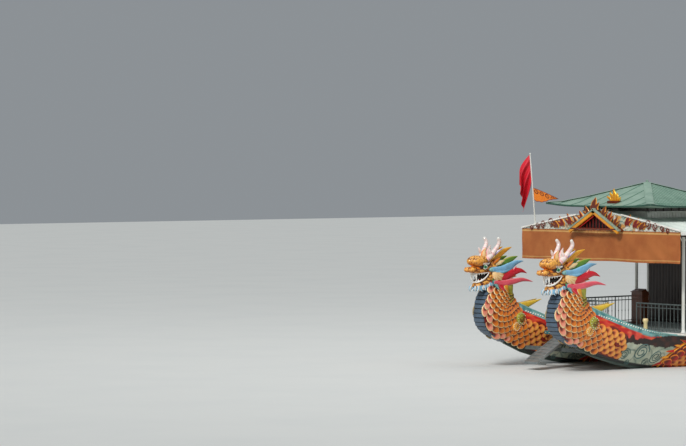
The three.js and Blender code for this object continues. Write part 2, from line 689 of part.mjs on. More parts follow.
function wheelGeometry() {
  const rim = new THREE.TorusGeometry(WHEEL_RADIUS, WHEEL_TUBE, 8, 32).rotateY(Math.PI / 2);
  const hub = new THREE.CylinderGeometry(WHEEL_HUB_RADIUS, WHEEL_HUB_RADIUS, WHEEL_HUB_LENGTH, 16)
    .rotateZ(Math.PI / 2);
  const spokes = [];
  for (let i = 0; i < SPOKE_COUNT / 2; i += 1) {
    const spoke = new THREE.CylinderGeometry(WHEEL_TUBE * 0.7, WHEEL_TUBE * 0.7, 2 * WHEEL_RADIUS, 8);
    spokes.push(spoke.rotateX((i / SPOKE_COUNT) * 2 * Math.PI));
  }
  return join(rim, hub, ...spokes);
}

const wheel = addPiece('steering_wheel', wheelGeometry(), MATERIALS.wood);
wheel.position.set(
  xOf(HELM_AFT) - PEDESTAL_SIZE.x / 2 - WHEEL_HUB_LENGTH / 2 - TOUCH_GAP,
  HELM_Y,
  WHEEL_Z,
);

// Cabin side walls with their windows
const WINDOW_COUNT = 4;
const WINDOW_WIDTH = 950;
const WINDOW_SILL = 1900;
const WINDOW_HEAD = 2800;

function sideWallGeometry() {
  const rear = xOf(CABIN_REAR_AFT);
  const front = xOf(CABIN_FRONT_AFT);
  const half = WALL_THICKNESS / 2;
  const pitch = (front - rear) / WINDOW_COUNT;
  const windows = [];
  for (let i = 0; i < WINDOW_COUNT; i += 1) {
    const middle = rear + (i + 0.5) * pitch;
    windows.push(boxBetween(
      [middle - WINDOW_WIDTH / 2, -WALL_THICKNESS, WINDOW_SILL],
      [middle + WINDOW_WIDTH / 2, WALL_THICKNESS, WINDOW_HEAD],
    ));
  }
  return cut(boxBetween([rear, -half, FLOOR], [front, half, CEILING - TOUCH_GAP]), ...windows);
}

for (const { side, sign } of SIDES) {
  const wall = addPiece(`cabin_wall_${side}`, sideWallGeometry(), MATERIALS.white);
  wall.position.y = sign * (CABIN_HALF_WIDTH - WALL_THICKNESS / 2);
}

// Cabin bulkheads, each with a doorway and a door that opens outwards
const DOORWAY_HALF_WIDTH = 430;
const DOORWAY_TOP = 2960;
const DOOR_GAP = 6;
const DOOR_THICKNESS = 40;
const BULKHEAD_HALF_WIDTH = CABIN_HALF_WIDTH - WALL_THICKNESS - TOUCH_GAP;

function bulkheadShape() {
  const shape = new THREE.Shape();
  shape.moveTo(-BULKHEAD_HALF_WIDTH, FLOOR);
  shape.lineTo(-DOORWAY_HALF_WIDTH, FLOOR);
  shape.lineTo(-DOORWAY_HALF_WIDTH, DOORWAY_TOP);
  shape.lineTo(DOORWAY_HALF_WIDTH, DOORWAY_TOP);
  shape.lineTo(DOORWAY_HALF_WIDTH, FLOOR);
  shape.lineTo(BULKHEAD_HALF_WIDTH, FLOOR);
  shape.lineTo(BULKHEAD_HALF_WIDTH, CEILING - TOUCH_GAP);
  shape.lineTo(-BULKHEAD_HALF_WIDTH, CEILING - TOUCH_GAP);
  shape.closePath();
  return shape;
}

// [place, X of the outer face, direction in which the outer face looks]
const BULKHEADS = [
  ['front', xOf(CABIN_FRONT_AFT), 1],
  ['aft', xOf(CABIN_REAR_AFT), -1],
];

for (const [place, outerX, outward] of BULKHEADS) {
  const innerX = outerX - outward * WALL_THICKNESS;
  const bulkhead = frontPlateOf(bulkheadShape(), Math.min(innerX, outerX), Math.max(innerX, outerX));
  addPiece(`cabin_bulkhead_${place}`, bulkhead, MATERIALS.white);
  const doorInnerX = outerX - outward * DOOR_THICKNESS;
  const door = boxBetween(
    [Math.min(doorInnerX, outerX), -DOORWAY_HALF_WIDTH + DOOR_GAP, FLOOR + DOOR_GAP],
    [Math.max(doorInnerX, outerX), DOORWAY_HALF_WIDTH - TOUCH_GAP, DOORWAY_TOP - DOOR_GAP],
  );
  addPiece(`door_${place}`, door, MATERIALS.wood);
}

// Benches along the cabin's sides
const BENCH_FRONT_AFT = 7600;
const BENCH_REAR_AFT = 12800;
const BENCH_SEAT_TOP = 420;
const BENCH_SEAT_THICKNESS = 50;
const BENCH_DEPTH = 400;
const BENCH_Y = 1950;
const BENCH_LEG_WIDTH = 60;
const BENCH_BAYS = 4;

function benchShape() {
  const rear = xOf(BENCH_REAR_AFT);
  const front = xOf(BENCH_FRONT_AFT);
  const underside = BENCH_SEAT_TOP - BENCH_SEAT_THICKNESS;
  const pitch = (front - rear - BENCH_LEG_WIDTH) / BENCH_BAYS;
  const shape = new THREE.Shape();
  shape.moveTo(front, BENCH_SEAT_TOP);
  shape.lineTo(rear, BENCH_SEAT_TOP);
  for (let i = 0; i <= BENCH_BAYS; i += 1) {
    const left = rear + i * pitch;
    shape.lineTo(left, i === 0 ? 0 : underside);
    shape.lineTo(left, 0);
    shape.lineTo(left + BENCH_LEG_WIDTH, 0);
    if (i < BENCH_BAYS) shape.lineTo(left + BENCH_LEG_WIDTH, underside);
  }
  shape.closePath();
  return shape;
}

for (const { side, sign } of SIDES) {
  const bench = addPiece(`bench_${side}`, sidePlateOf(benchShape(), BENCH_DEPTH), MATERIALS.wood);
  bench.position.set(0, sign * BENCH_Y, FLOOR);
}

// Long gable roof over the pavilion and the cabin
function mainRoofGeometry() {
  const shape = new THREE.Shape([
    new THREE.Vector2(-ROOF_HALF_WIDTH, CEILING),
    new THREE.Vector2(ROOF_HALF_WIDTH, CEILING),
    new THREE.Vector2(ROOF_HALF_WIDTH, EAVE_TOP),
    new THREE.Vector2(0, RIDGE_TOP),
    new THREE.Vector2(-ROOF_HALF_WIDTH, EAVE_TOP),
  ]);
  return frontPlateOf(shape, xOf(ROOF_REAR_AFT), xOf(ROOF_FRONT_AFT));
}

addPiece('main_roof', mainRoofGeometry(), MATERIALS.roof);

// Front gable with its flame crests, in front of the roof's pediment
const GABLE_HALF_WIDTH = 950;
const GABLE_FOOT = 3735;
const GABLE_APEX = 4290;
const GABLE_DEPTH = 260;
const GABLE_RECESS = 90;
const GABLE_BOARD = 90;
const CREST_THICKNESS = 40;
// [distance from the centre, width, height, lean outwards]
const CRESTS = [
  [330, 230, 330, 90],
  [600, 220, 330, 90],
  [860, 190, 280, 90],
];
const FINIAL = { width: 300, height: 400 };

function gableGeometry() {
  const back = xOf(ROOF_FRONT_AFT) + TOUCH_GAP;
  const front = back + GABLE_DEPTH;
  const slope = (GABLE_APEX - GABLE_FOOT) / GABLE_HALF_WIDTH;
  const body = new THREE.Shape([
    new THREE.Vector2(-GABLE_HALF_WIDTH, GABLE_FOOT),
    new THREE.Vector2(GABLE_HALF_WIDTH, GABLE_FOOT),
    new THREE.Vector2(0, GABLE_APEX),
  ]);
  const recess = new THREE.Shape([
    new THREE.Vector2(-GABLE_HALF_WIDTH + 3 * GABLE_BOARD, GABLE_FOOT + GABLE_BOARD / 2),
    new THREE.Vector2(GABLE_HALF_WIDTH - 3 * GABLE_BOARD, GABLE_FOOT + GABLE_BOARD / 2),
    new THREE.Vector2(0, GABLE_APEX - 1.2 * GABLE_BOARD),
  ]);
  const prism = cut(frontPlateOf(body, back, front), frontPlateOf(recess, front - GABLE_RECESS, front + 10));
  const crestFront = front - GABLE_DEPTH / 3;
  const crests = SIDES.flatMap(({ sign }) => CRESTS.map(([y, width, height, lean]) => {
    const flame = frontPlateOf(flameShape(width, height, lean), 0, CREST_THICKNESS, 4);
    if (sign < 0) flame.rotateZ(Math.PI).translate(CREST_THICKNESS, 0, 0);
    return flame.translate(crestFront - CREST_THICKNESS, sign * y, GABLE_APEX - slope * y - 50);
  }));
  const finial = frontPlateOf(flameShape(FINIAL.width, FINIAL.height, 0), 0, CREST_THICKNESS, 4)
    .translate(crestFront - CREST_THICKNESS, 0, GABLE_APEX - 30);
  return join(prism, finial, ...crests);
}

addPiece('front_gable', gableGeometry(), MATERIALS.olive);

// Clerestory and upper roof
const UPPER_FRONT_AFT = 2720;
const UPPER_HALF_LENGTH = 1980;
const UPPER_HALF_WIDTH = 2000;
const UPPER_CENTRE_X = xOf(UPPER_FRONT_AFT + UPPER_HALF_LENGTH);
const CLERESTORY_HALF_LENGTH = 1250;
const CLERESTORY_HALF_WIDTH = 1200;
const UPPER_SOFFIT = 4340;
const CORNER_LIFT = 70;
const EDGE_STEPS = 6;
// [share of the plan, z, share of the corner's lift]
const UPPER_RINGS = [
  [0.75, 4340, 0],
  [1, 4350, 1],
  [1, 4395, 1],
  [0.85, 4460, 0.4],
  [0.6, 4620, 0.1],
  [0.3, 4830, 0],
  [0.02, 5020, 0],
];

function rectangleRing(halfLength, halfWidth, z, lift) {
  const corners = [[1, 1], [-1, 1], [-1, -1], [1, -1]];
  const ring = [];
  corners.forEach(([x0, y0], i) => {
    const [x1, y1] = corners[(i + 1) % corners.length];
    for (let k = 0; k < EDGE_STEPS; k += 1) {
      const x = THREE.MathUtils.lerp(x0, x1, k / EDGE_STEPS);
      const y = THREE.MathUtils.lerp(y0, y1, k / EDGE_STEPS);
      const corner = Math.abs(x * y) ** 4;
      ring.push(new THREE.Vector3(x * halfLength, y * halfWidth, z + lift * corner));
    }
  });
  return ring;
}

const upperRoof = addPiece('upper_roof', loft(UPPER_RINGS.map(([share, z, lift]) => (
  rectangleRing(share * UPPER_HALF_LENGTH, share * UPPER_HALF_WIDTH, z, lift * CORNER_LIFT)
))), MATERIALS.upperRoof);
upperRoof.position.x = UPPER_CENTRE_X;

const clerestory = boxBetween(
  [UPPER_CENTRE_X - CLERESTORY_HALF_LENGTH, -CLERESTORY_HALF_WIDTH, EAVE_TOP],
  [UPPER_CENTRE_X + CLERESTORY_HALF_LENGTH, CLERESTORY_HALF_WIDTH, UPPER_SOFFIT - TOUCH_GAP],
);
addPiece('clerestory', cut(clerestory, mainRoofGeometry().translate(0, 0, 1.1 * TOUCH_GAP)), MATERIALS.dark);

// Banner hung across the front of the roof
const BANNER_HALF_WIDTH = 3030;
const BANNER_TOP = 3720;
const BANNER_BOTTOM = 2870;
const BANNER_THICKNESS = 12;

addPiece('banner', boxBetween(
  [xOf(ROOF_FRONT_AFT) + TOUCH_GAP, -BANNER_HALF_WIDTH, BANNER_BOTTOM],
  [xOf(ROOF_FRONT_AFT) + TOUCH_GAP + BANNER_THICKNESS, BANNER_HALF_WIDTH, BANNER_TOP],
), MATERIALS.banner);

// Flagpole on the starboard slope of the roof, with its flag and pennant, leaning forward
const POLE_AFT = 2930;
const POLE_Y = -2640;
const POLE_RADIUS = 18;
const POLE_TOP = 5870;
const POLE_FOOT_RADIUS = 60;
const POLE_FOOT_HEIGHT = 90;
const POLE_LEAN = THREE.MathUtils.degToRad(6);
const POLE_ROOF_Z = THREE.MathUtils.mapLinear(-POLE_Y, 0, ROOF_HALF_WIDTH, RIDGE_TOP, EAVE_TOP);
const POLE_LENGTH = POLE_TOP - POLE_ROOF_Z;
// [distance from the pole's axis, height above the pole's foot]
const FLAG_OUTLINE = [[0, 1230], [0, 2050], [60, 2050], [180, 1450], [280, 490], [150, 440]];
const PENNANT_OUTLINE = [[0, 740], [0, 1080], [690, 770], [400, 690], [200, 680]];
const CLOTH_THICKNESS = 12;
const FLAG_TURN = THREE.MathUtils.degToRad(-45);
const PENNANT_TURN = THREE.MathUtils.degToRad(135);

const flagGroup = new THREE.Group();
flagGroup.position.set(xOf(POLE_AFT), POLE_Y, POLE_ROOF_Z);
flagGroup.rotation.y = POLE_LEAN;
boat.add(flagGroup);

function flagpoleGeometry() {
  const pole = new THREE.CylinderGeometry(POLE_RADIUS, POLE_RADIUS, POLE_LENGTH, 12)
    .rotateX(Math.PI / 2)
    .translate(0, 0, POLE_LENGTH / 2);
  const foot = new THREE.CylinderGeometry(POLE_FOOT_RADIUS, POLE_FOOT_RADIUS, 2 * POLE_FOOT_HEIGHT, 16)
    .rotateX(Math.PI / 2);
  const roof = mainRoofGeometry()
    .translate(-xOf(POLE_AFT), -POLE_Y, 1.1 * TOUCH_GAP - POLE_ROOF_Z)
    .rotateY(-POLE_LEAN);
  return cut(join(pole, foot), roof);
}

addPiece('flagpole', flagpoleGeometry(), MATERIALS.white, flagGroup);

// [name, outline, turn about the pole, material]
const CLOTHS = [
  ['flag', FLAG_OUTLINE, FLAG_TURN, MATERIALS.redCloth],
  ['pennant', PENNANT_OUTLINE, PENNANT_TURN, MATERIALS.orangeCloth],
];
for (const [name, outline, turn, material] of CLOTHS) {
  const reach = POLE_RADIUS + TOUCH_GAP;
  const cloth = sidePlate(outline.map(([out, z]) => [reach + out, z]), CLOTH_THICKNESS);
  addPiece(name, cloth.rotateZ(turn), material, flagGroup);
}

export default boat;
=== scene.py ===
"""Twin-hull excursion boat with dragon prows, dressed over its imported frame.

Lengths are in metres in the boat's frame: +X to the bow, +Y to port, +Z up from the waterline.
"""
import logging
import math
from dataclasses import dataclass, field
from enum import Enum
from typing import Callable, Optional, Sequence

import bmesh
import bpy
from mathutils import Matrix, Vector, noise
from mathutils.bvhtree import BVHTree

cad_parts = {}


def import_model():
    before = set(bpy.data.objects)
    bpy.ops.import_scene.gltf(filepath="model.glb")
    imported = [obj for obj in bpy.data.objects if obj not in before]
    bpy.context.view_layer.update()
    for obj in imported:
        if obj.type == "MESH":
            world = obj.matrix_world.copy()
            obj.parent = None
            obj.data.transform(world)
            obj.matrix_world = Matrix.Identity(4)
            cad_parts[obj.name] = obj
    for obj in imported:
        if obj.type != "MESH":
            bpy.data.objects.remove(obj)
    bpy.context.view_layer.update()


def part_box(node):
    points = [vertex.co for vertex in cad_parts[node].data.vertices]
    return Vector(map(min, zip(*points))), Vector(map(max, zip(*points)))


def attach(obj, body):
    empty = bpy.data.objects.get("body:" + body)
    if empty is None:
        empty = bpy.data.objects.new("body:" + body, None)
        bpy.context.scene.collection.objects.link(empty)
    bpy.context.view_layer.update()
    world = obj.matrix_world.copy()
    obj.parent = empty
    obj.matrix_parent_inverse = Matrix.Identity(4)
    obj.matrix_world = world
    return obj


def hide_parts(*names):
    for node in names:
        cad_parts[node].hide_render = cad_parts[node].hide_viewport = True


LOG = logging.getLogger("dragon_boat")
TAU = 2 * math.pi
AHEAD = Vector((1, 0, 0))
TO_PORT = Vector((0, 1, 0))
UP = Vector((0, 0, 1))
SIDES = (1, -1)
HULL_Y = 1.4
BOW_X = 7.5
DECK_TOP = 0.9603
HALF_ROOF = 3.03
ROOF_FRONT_X = 4.7
ROOF_REAR_X = -6.3
CEILING = 3.66
EAVE_TOP = 3.72
RIDGE_TOP = 4.27
BODY = "boat"

Colour = tuple[float, float, float, float]
Place = Callable[[float, float], Vector]
Paint = Callable[[float, float], Colour]


def linear(code: str) -> Colour:
    """Turns an sRGB hex colour to the linear one that shaders use.

    Args:
        code: six hex digits, such as "C4221A".

    Returns:
        Red, green, blue and alpha.
    """
    channels = [int(code[i:i + 2], 16) / 255 for i in (0, 2, 4)]
    return tuple([c / 12.92 if c <= 0.04045 else ((c + 0.055) / 1.055) ** 2.4 for c in channels] + [1.0])


class Hue(Enum):
    """Enamel colours of the carved and painted work."""

    ORANGE = linear("EC8420")
    GOLD = linear("E69A24")
    AMBER = linear("F0AE4C")
    CREAM = linear("F6D9A0")
    BROWN = linear("6A2810")
    DARK = linear("24120C")
    MAROON = linear("7A1710")
    SALMON = linear("F2A78A")
    LIME = linear("A9A83A")
    TEAL = linear("1F6F78")
    SEA = linear("7FB0AC")
    SKY = linear("86BEDC")
    AZURE = linear("78AFD2")
    PINK = linear("F0A7A8")
    ROSE = linear("EC5C6C")
    CRIMSON = linear("D01A2E")
    CORAL = linear("E8503C")
    WHITE = linear("EFEDE6")
    RED = linear("C4180F")
    GREEN = linear("5C8A2C")
    YELLOW = linear("E9C23A")
    LILAC = linear("B6A4D8")
    SLATE = linear("4E6072")
    CLOUD = linear("C6CCB6")
    MOSS = linear("8C9F8C")
    LINE = linear("4F6E6A")
    KEEL = linear("171B19")
    BLACK = linear("080707")
    IRIS = linear("2F8F5B")


def mix(first: Colour, second: Colour, share: float) -> Colour:
    """Blends two linear colours, share running from 0, the first, to 1, the second."""
    share = min(max(share, 0.0), 1.0)
    return tuple(a + (b - a) * share for a, b in zip(first, second))


def ramp(value: float, low: float, high: float) -> float:
    """Gives 0 at low, 1 at high and a straight run between, held at both ends."""
    return min(max((value - low) / (high - low), 0.0), 1.0)


def spline(rows: Sequence[Sequence[float]], at: float) -> list[float]:
    """Reads a smooth curve through rows of numbers.

    Args:
        rows: the rows it passes through, all of one length.
        at: the place along it, from 0 at the first row to 1 at the last.

    Returns:
        The row of numbers there.
    """
    place = min(max(at, 0.0), 1.0) * (len(rows) - 1)
    index = min(int(place), len(rows) - 2)
    t = place - index
    before = rows[max(index - 1, 0)]
    after = rows[min(index + 2, len(rows) - 1)]
    return [
        (2 * b + (c - a) * t + (2 * a - 5 * b + 4 * c - d) * t ** 2 + (3 * b - a - 3 * c + d) * t ** 3) / 2
        for a, b, c, d in zip(before, rows[index], rows[index + 1], after)
    ]


def add_node(tree: bpy.types.NodeTree, kind: str, settings: Optional[dict] = None,
             values: Optional[dict] = None, links: Optional[dict] = None) -> bpy.types.Node:
    """Adds a shader node.

    Args:
        tree: the material's node tree.
        kind: the node's type name.
        settings: properties to set on the node.
        values: default values, by input name or number.
        links: output sockets to join, by input name or number.

    Returns:
        The new node.
    """
    node = tree.nodes.new(kind)
    for name, value in (settings or {}).items():
        setattr(node, name, value)
    for socket, value in (values or {}).items():
        node.inputs[socket].default_value = value
    for socket, source in (links or {}).items():
        tree.links.new(source, node.inputs[socket])
    return node


@dataclass(frozen=True)
class Finish:
    """A painted or bare surface: its colour, patches of a second colour, gloss and fine relief."""

    name: str
    code: str
    patch_code: str
    roughness: float = 0.45
    metallic: float = 0.0
    coat: float = 0.0
    patch_size: float = 0.3
    patch_share: float = 0.6
    grain_size: float = 0.012
    relief: float = 0.0008
    stretch: tuple[float, float, float] = (1, 1, 1)

    def material(self) -> bpy.types.Material:
        """Builds the material once and hands the same one out after that."""
        known = bpy.data.materials.get(self.name)
        if known:
            return known
        material = bpy.data.materials.new(self.name)
        material.use_nodes = True
        tree = material.node_tree
        shader = tree.nodes["Principled BSDF"]
        where = add_node(tree, "ShaderNodeTexCoord").outputs["Object"]
        place = add_node(tree, "ShaderNodeMapping", values={"Scale": self.stretch},
                         links={"Vector": where}).outputs[0]
        self.dress(tree, shader, place)
        shader.inputs["Metallic"].default_value = self.metallic
        shader.inputs["Coat Weight"].default_value = self.coat
        return material

    def dress(self, tree: bpy.types.NodeTree, shader: bpy.types.Node, place: bpy.types.NodeSocket) -> None:
        """Links colour, roughness and relief to the shader.

        Args:
            tree: the material's node tree.
            shader: its Principled shader.
            place: the stretched object coordinates.
        """
        patches = add_node(tree, "ShaderNodeTexNoise", values={"Scale": 1 / self.patch_size, "Detail": 4},
                           links={"Vector": place})
        spread = add_node(tree, "ShaderNodeMapRange", values={1: 0.42, 2: 0.72, 3: 0.0, 4: self.patch_share},
                          links={0: patches.outputs[0]})
        colour = add_node(tree, "ShaderNodeMix", {"data_type": "RGBA"},
                          {6: linear(self.code), 7: linear(self.patch_code)}, {0: spread.outputs[0]})
        tree.links.new(colour.outputs[2], shader.inputs["Base Color"])
        self.relieve(tree, shader, place, patches.outputs[0])

    def relieve(self, tree: bpy.types.NodeTree, shader: bpy.types.Node, place: bpy.types.NodeSocket,
                patches: bpy.types.NodeSocket) -> None:
        """Adds the grain's bump and an uneven gloss.

        Args:
            tree: the material's node tree.
            shader: its Principled shader.
            place: the stretched object coordinates.
            patches: the patches' pattern, which also dulls the gloss.
        """
        grain = add_node(tree, "ShaderNodeTexNoise", values={"Scale": 1 / self.grain_size, "Detail": 3},
                         links={"Vector": place})
        bump = add_node(tree, "ShaderNodeBump", values={"Strength": 0.6, "Distance": self.relief},
                        links={"Height": grain.outputs[0]})
        gloss = add_node(tree, "ShaderNodeMapRange",
                         values={3: self.roughness - 0.1, 4: self.roughness + 0.15}, links={0: patches})
        tree.links.new(bump.outputs[0], shader.inputs["Normal"])
        tree.links.new(gloss.outputs[0], shader.inputs["Roughness"])


@dataclass(frozen=True)
class CarvedPaint(Finish):
    """Hand-brushed enamel whose colour the carved piece holds at each point."""

    attribute: str = "paint"

    def dress(self, tree: bpy.types.NodeTree, shader: bpy.types.Node, place: bpy.types.NodeSocket) -> None:
        """Links the held colour, slightly faded in patches, to the shader."""
        held = add_node(tree, "ShaderNodeVertexColor", {"layer_name": self.attribute})
        patches = add_node(tree, "ShaderNodeTexNoise", values={"Scale": 1 / self.patch_size, "Detail": 5},
                           links={"Vector": place})
        spread = add_node(tree, "ShaderNodeMapRange", values={1: 0.4, 2: 0.75, 3: 0.0, 4: self.patch_share},
                          links={0: patches.outputs[0]})
        colour = add_node(tree, "ShaderNodeMix", {"data_type": "RGBA", "blend_type": "MULTIPLY"},
                          {7: linear(self.patch_code)}, {0: spread.outputs[0], 6: held.outputs[0]})
        tree.links.new(colour.outputs[2], shader.inputs["Base Color"])
        self.relieve(tree, shader, place, patches.outputs[0])


# Brush-laid gloss enamel on carving: soft highlights, faded and dusty patches, brush marks.
CARVED = CarvedPaint("brushed_enamel_on_carving", "FFFFFF", "B9A58C", roughness=0.42, coat=0.15,
                     patch_size=0.18, patch_share=0.45, grain_size=0.02, relief=0.0015)
# Gloss enamel on steel: white that has yellowed and run with rust-tinted rain.
WHITE_ENAMEL = Finish("white_enamel_on_steel", "E4E3DC", "A9A391", roughness=0.38, coat=0.1,
                      patch_size=0.22, patch_share=0.5, stretch=(1, 1, 0.35))
# Grey enamel on steel bars: flat paint, scuffed to a lighter undercoat.
GREY_ENAMEL = Finish("grey_enamel_on_steel", "59615F", "363C3B", roughness=0.5, patch_size=0.12,
                     patch_share=0.6)
# Deck paint on boards: worn through in streaks along the boards.
DECK_GREY = Finish("worn_deck_paint", "8F9795", "5C625F", roughness=0.62, patch_size=0.20, patch_share=0.7,
                   grain_size=0.02, relief=0.002, stretch=(0.3, 1, 1))
# Bare aluminium treadplate gone dull: grey, scratched along its length.
RAMP_GREY = Finish("dull_aluminium", "9BA1A0", "6C7271", roughness=0.42, metallic=0.7, patch_size=0.15,
                   patch_share=0.6, grain_size=0.01, relief=0.001, stretch=(0.2, 1, 1))
# Ribbed roofing steel, painted pale green, chalked white by the sun and streaked down the slope.
ROOF_SHEET = Finish("chalked_roofing_sheet", "D5DBD4", "9DABA3", roughness=0.55, patch_size=0.5,
                    patch_share=0.7, grain_size=0.03, relief=0.001, stretch=(1.6, 0.35, 1))
# Ribbed roofing steel in sage green, faded in broad patches with rain streaks.
UPPER_SHEET = Finish("sage_roofing_sheet", "869E8E", "627F70", roughness=0.5, patch_size=0.45,
                     patch_share=0.7, grain_size=0.03, relief=0.001)
# The same steel's ribs, painted darker than the sheet as painted shade along each rib.
UPPER_RIB = Finish("sage_roofing_rib", "587C6A", "3C5F50", roughness=0.5, patch_size=0.3, patch_share=0.7)
# Dark green enamel on the eave's edge.
EAVE_GREEN = Finish("dark_green_enamel", "2F5546", "1E3A31", roughness=0.45, patch_size=0.2,
                    patch_share=0.6)
# Stained hardwood boards under the roof, nearly black brown as painted shade of the space under the roof,
# with long grain.
SHADE_DARK_TIMBER = Finish("stained_hardwood_and_painted_shade", "2E1D14", "150D09", roughness=0.5, coat=0.1, patch_size=0.10,
                     patch_share=0.8, grain_size=0.008, relief=0.001, stretch=(1, 1, 0.12))
# Varnished hardwood: red-brown, glossy, with darker grain drawn out along the board.
VARNISH = Finish("varnished_hardwood", "6E371A", "3C1C0D", roughness=0.3, coat=0.5, patch_size=0.05,
                 patch_share=0.8, grain_size=0.006, relief=0.0006, stretch=(0.2, 1, 0.2))
# Cast brass fittings, handled bright with brown tarnish in the hollows.
BRASS = Finish("cast_brass", "C9A04E", "6F5426", roughness=0.3, metallic=1.0, patch_size=0.03,
               patch_share=0.5)
# Cast manganese bronze, dull under water, with greenish patches.
PROPELLER_BRONZE = Finish("cast_bronze", "A9793C", "5E6B48", roughness=0.4, metallic=1.0, patch_size=0.06,
                          patch_share=0.6)
# Bottom paint: matt near-black green, chalky and rubbed.
BOTTOM_PAINT = Finish("bottom_paint", "1F2A26", "3A4540", roughness=0.75, patch_size=0.25, patch_share=0.6,
                      grain_size=0.01, relief=0.002)
# Gilt paint on carving: yellow gold, bright on the ridges.
GILT = CarvedPaint("gilt_paint_on_carving", "FFFFFF", "C08A3A", roughness=0.32, metallic=0.35,
                   patch_size=0.08, patch_share=0.4, grain_size=0.01, relief=0.001)
BANNER_BROWN = linear("AC6530")
BANNER_LINE = linear("D9B06C")
# Printed polyester banner cloth: plain weave, dull sheen, rubbed in soft patches.
BANNER_WEAVE = CarvedPaint("printed_banner_cloth", "FFFFFF", "C79A72", roughness=0.65, patch_size=0.35,
                           patch_share=0.5, grain_size=0.006, relief=0.0012)
# Bright red flag polyester, thin enough to glow a little in the folds.
FLAG_RED = CarvedPaint("flag_polyester", "FFFFFF", "D98A80", roughness=0.55, patch_size=0.15,
                       patch_share=0.35, grain_size=0.005, relief=0.001)
# Orange pennant cotton: dull, with a coarse weave and faded patches.
PENNANT_CLOTH = CarvedPaint("pennant_cotton", "FFFFFF", "D9B070", roughness=0.7, patch_size=0.1,
                            patch_share=0.4, grain_size=0.005, relief=0.001)


@dataclass(frozen=True)
class GlassFinish(Finish):
    """Window glass: clear, faintly grey, dusty in patches."""

    def dress(self, tree: bpy.types.NodeTree, shader: bpy.types.Node, place: bpy.types.NodeSocket) -> None:
        """Adds transmission to the usual finish."""
        super().dress(tree, shader, place)
        shader.inputs["Transmission Weight"].default_value = 0.85
        shader.inputs["IOR"].default_value = 1.5


# Grey-tinted float glass: sharp reflections, a film of dust.
GLASS = GlassFinish("tinted_float_glass", "6F7C80", "8B9292", roughness=0.12, patch_size=0.3,
                    patch_share=0.5, grain_size=0.05, relief=0.0001)


def plain(hue: Hue) -> Paint:
    """One colour all over."""
    return lambda u, v: hue.value


def edged(body: Hue, rim: Hue, width: float = 0.1) -> Paint:
    """One colour for an oval bar, with a rim of another along both its sides and round its tip."""
    def colour(u: float, v: float) -> Colour:
        """Rim colour where the oval is widest."""
        return rim.value if abs(math.cos(TAU * v)) > 1 - width or u > 0.96 else body.value
    return colour


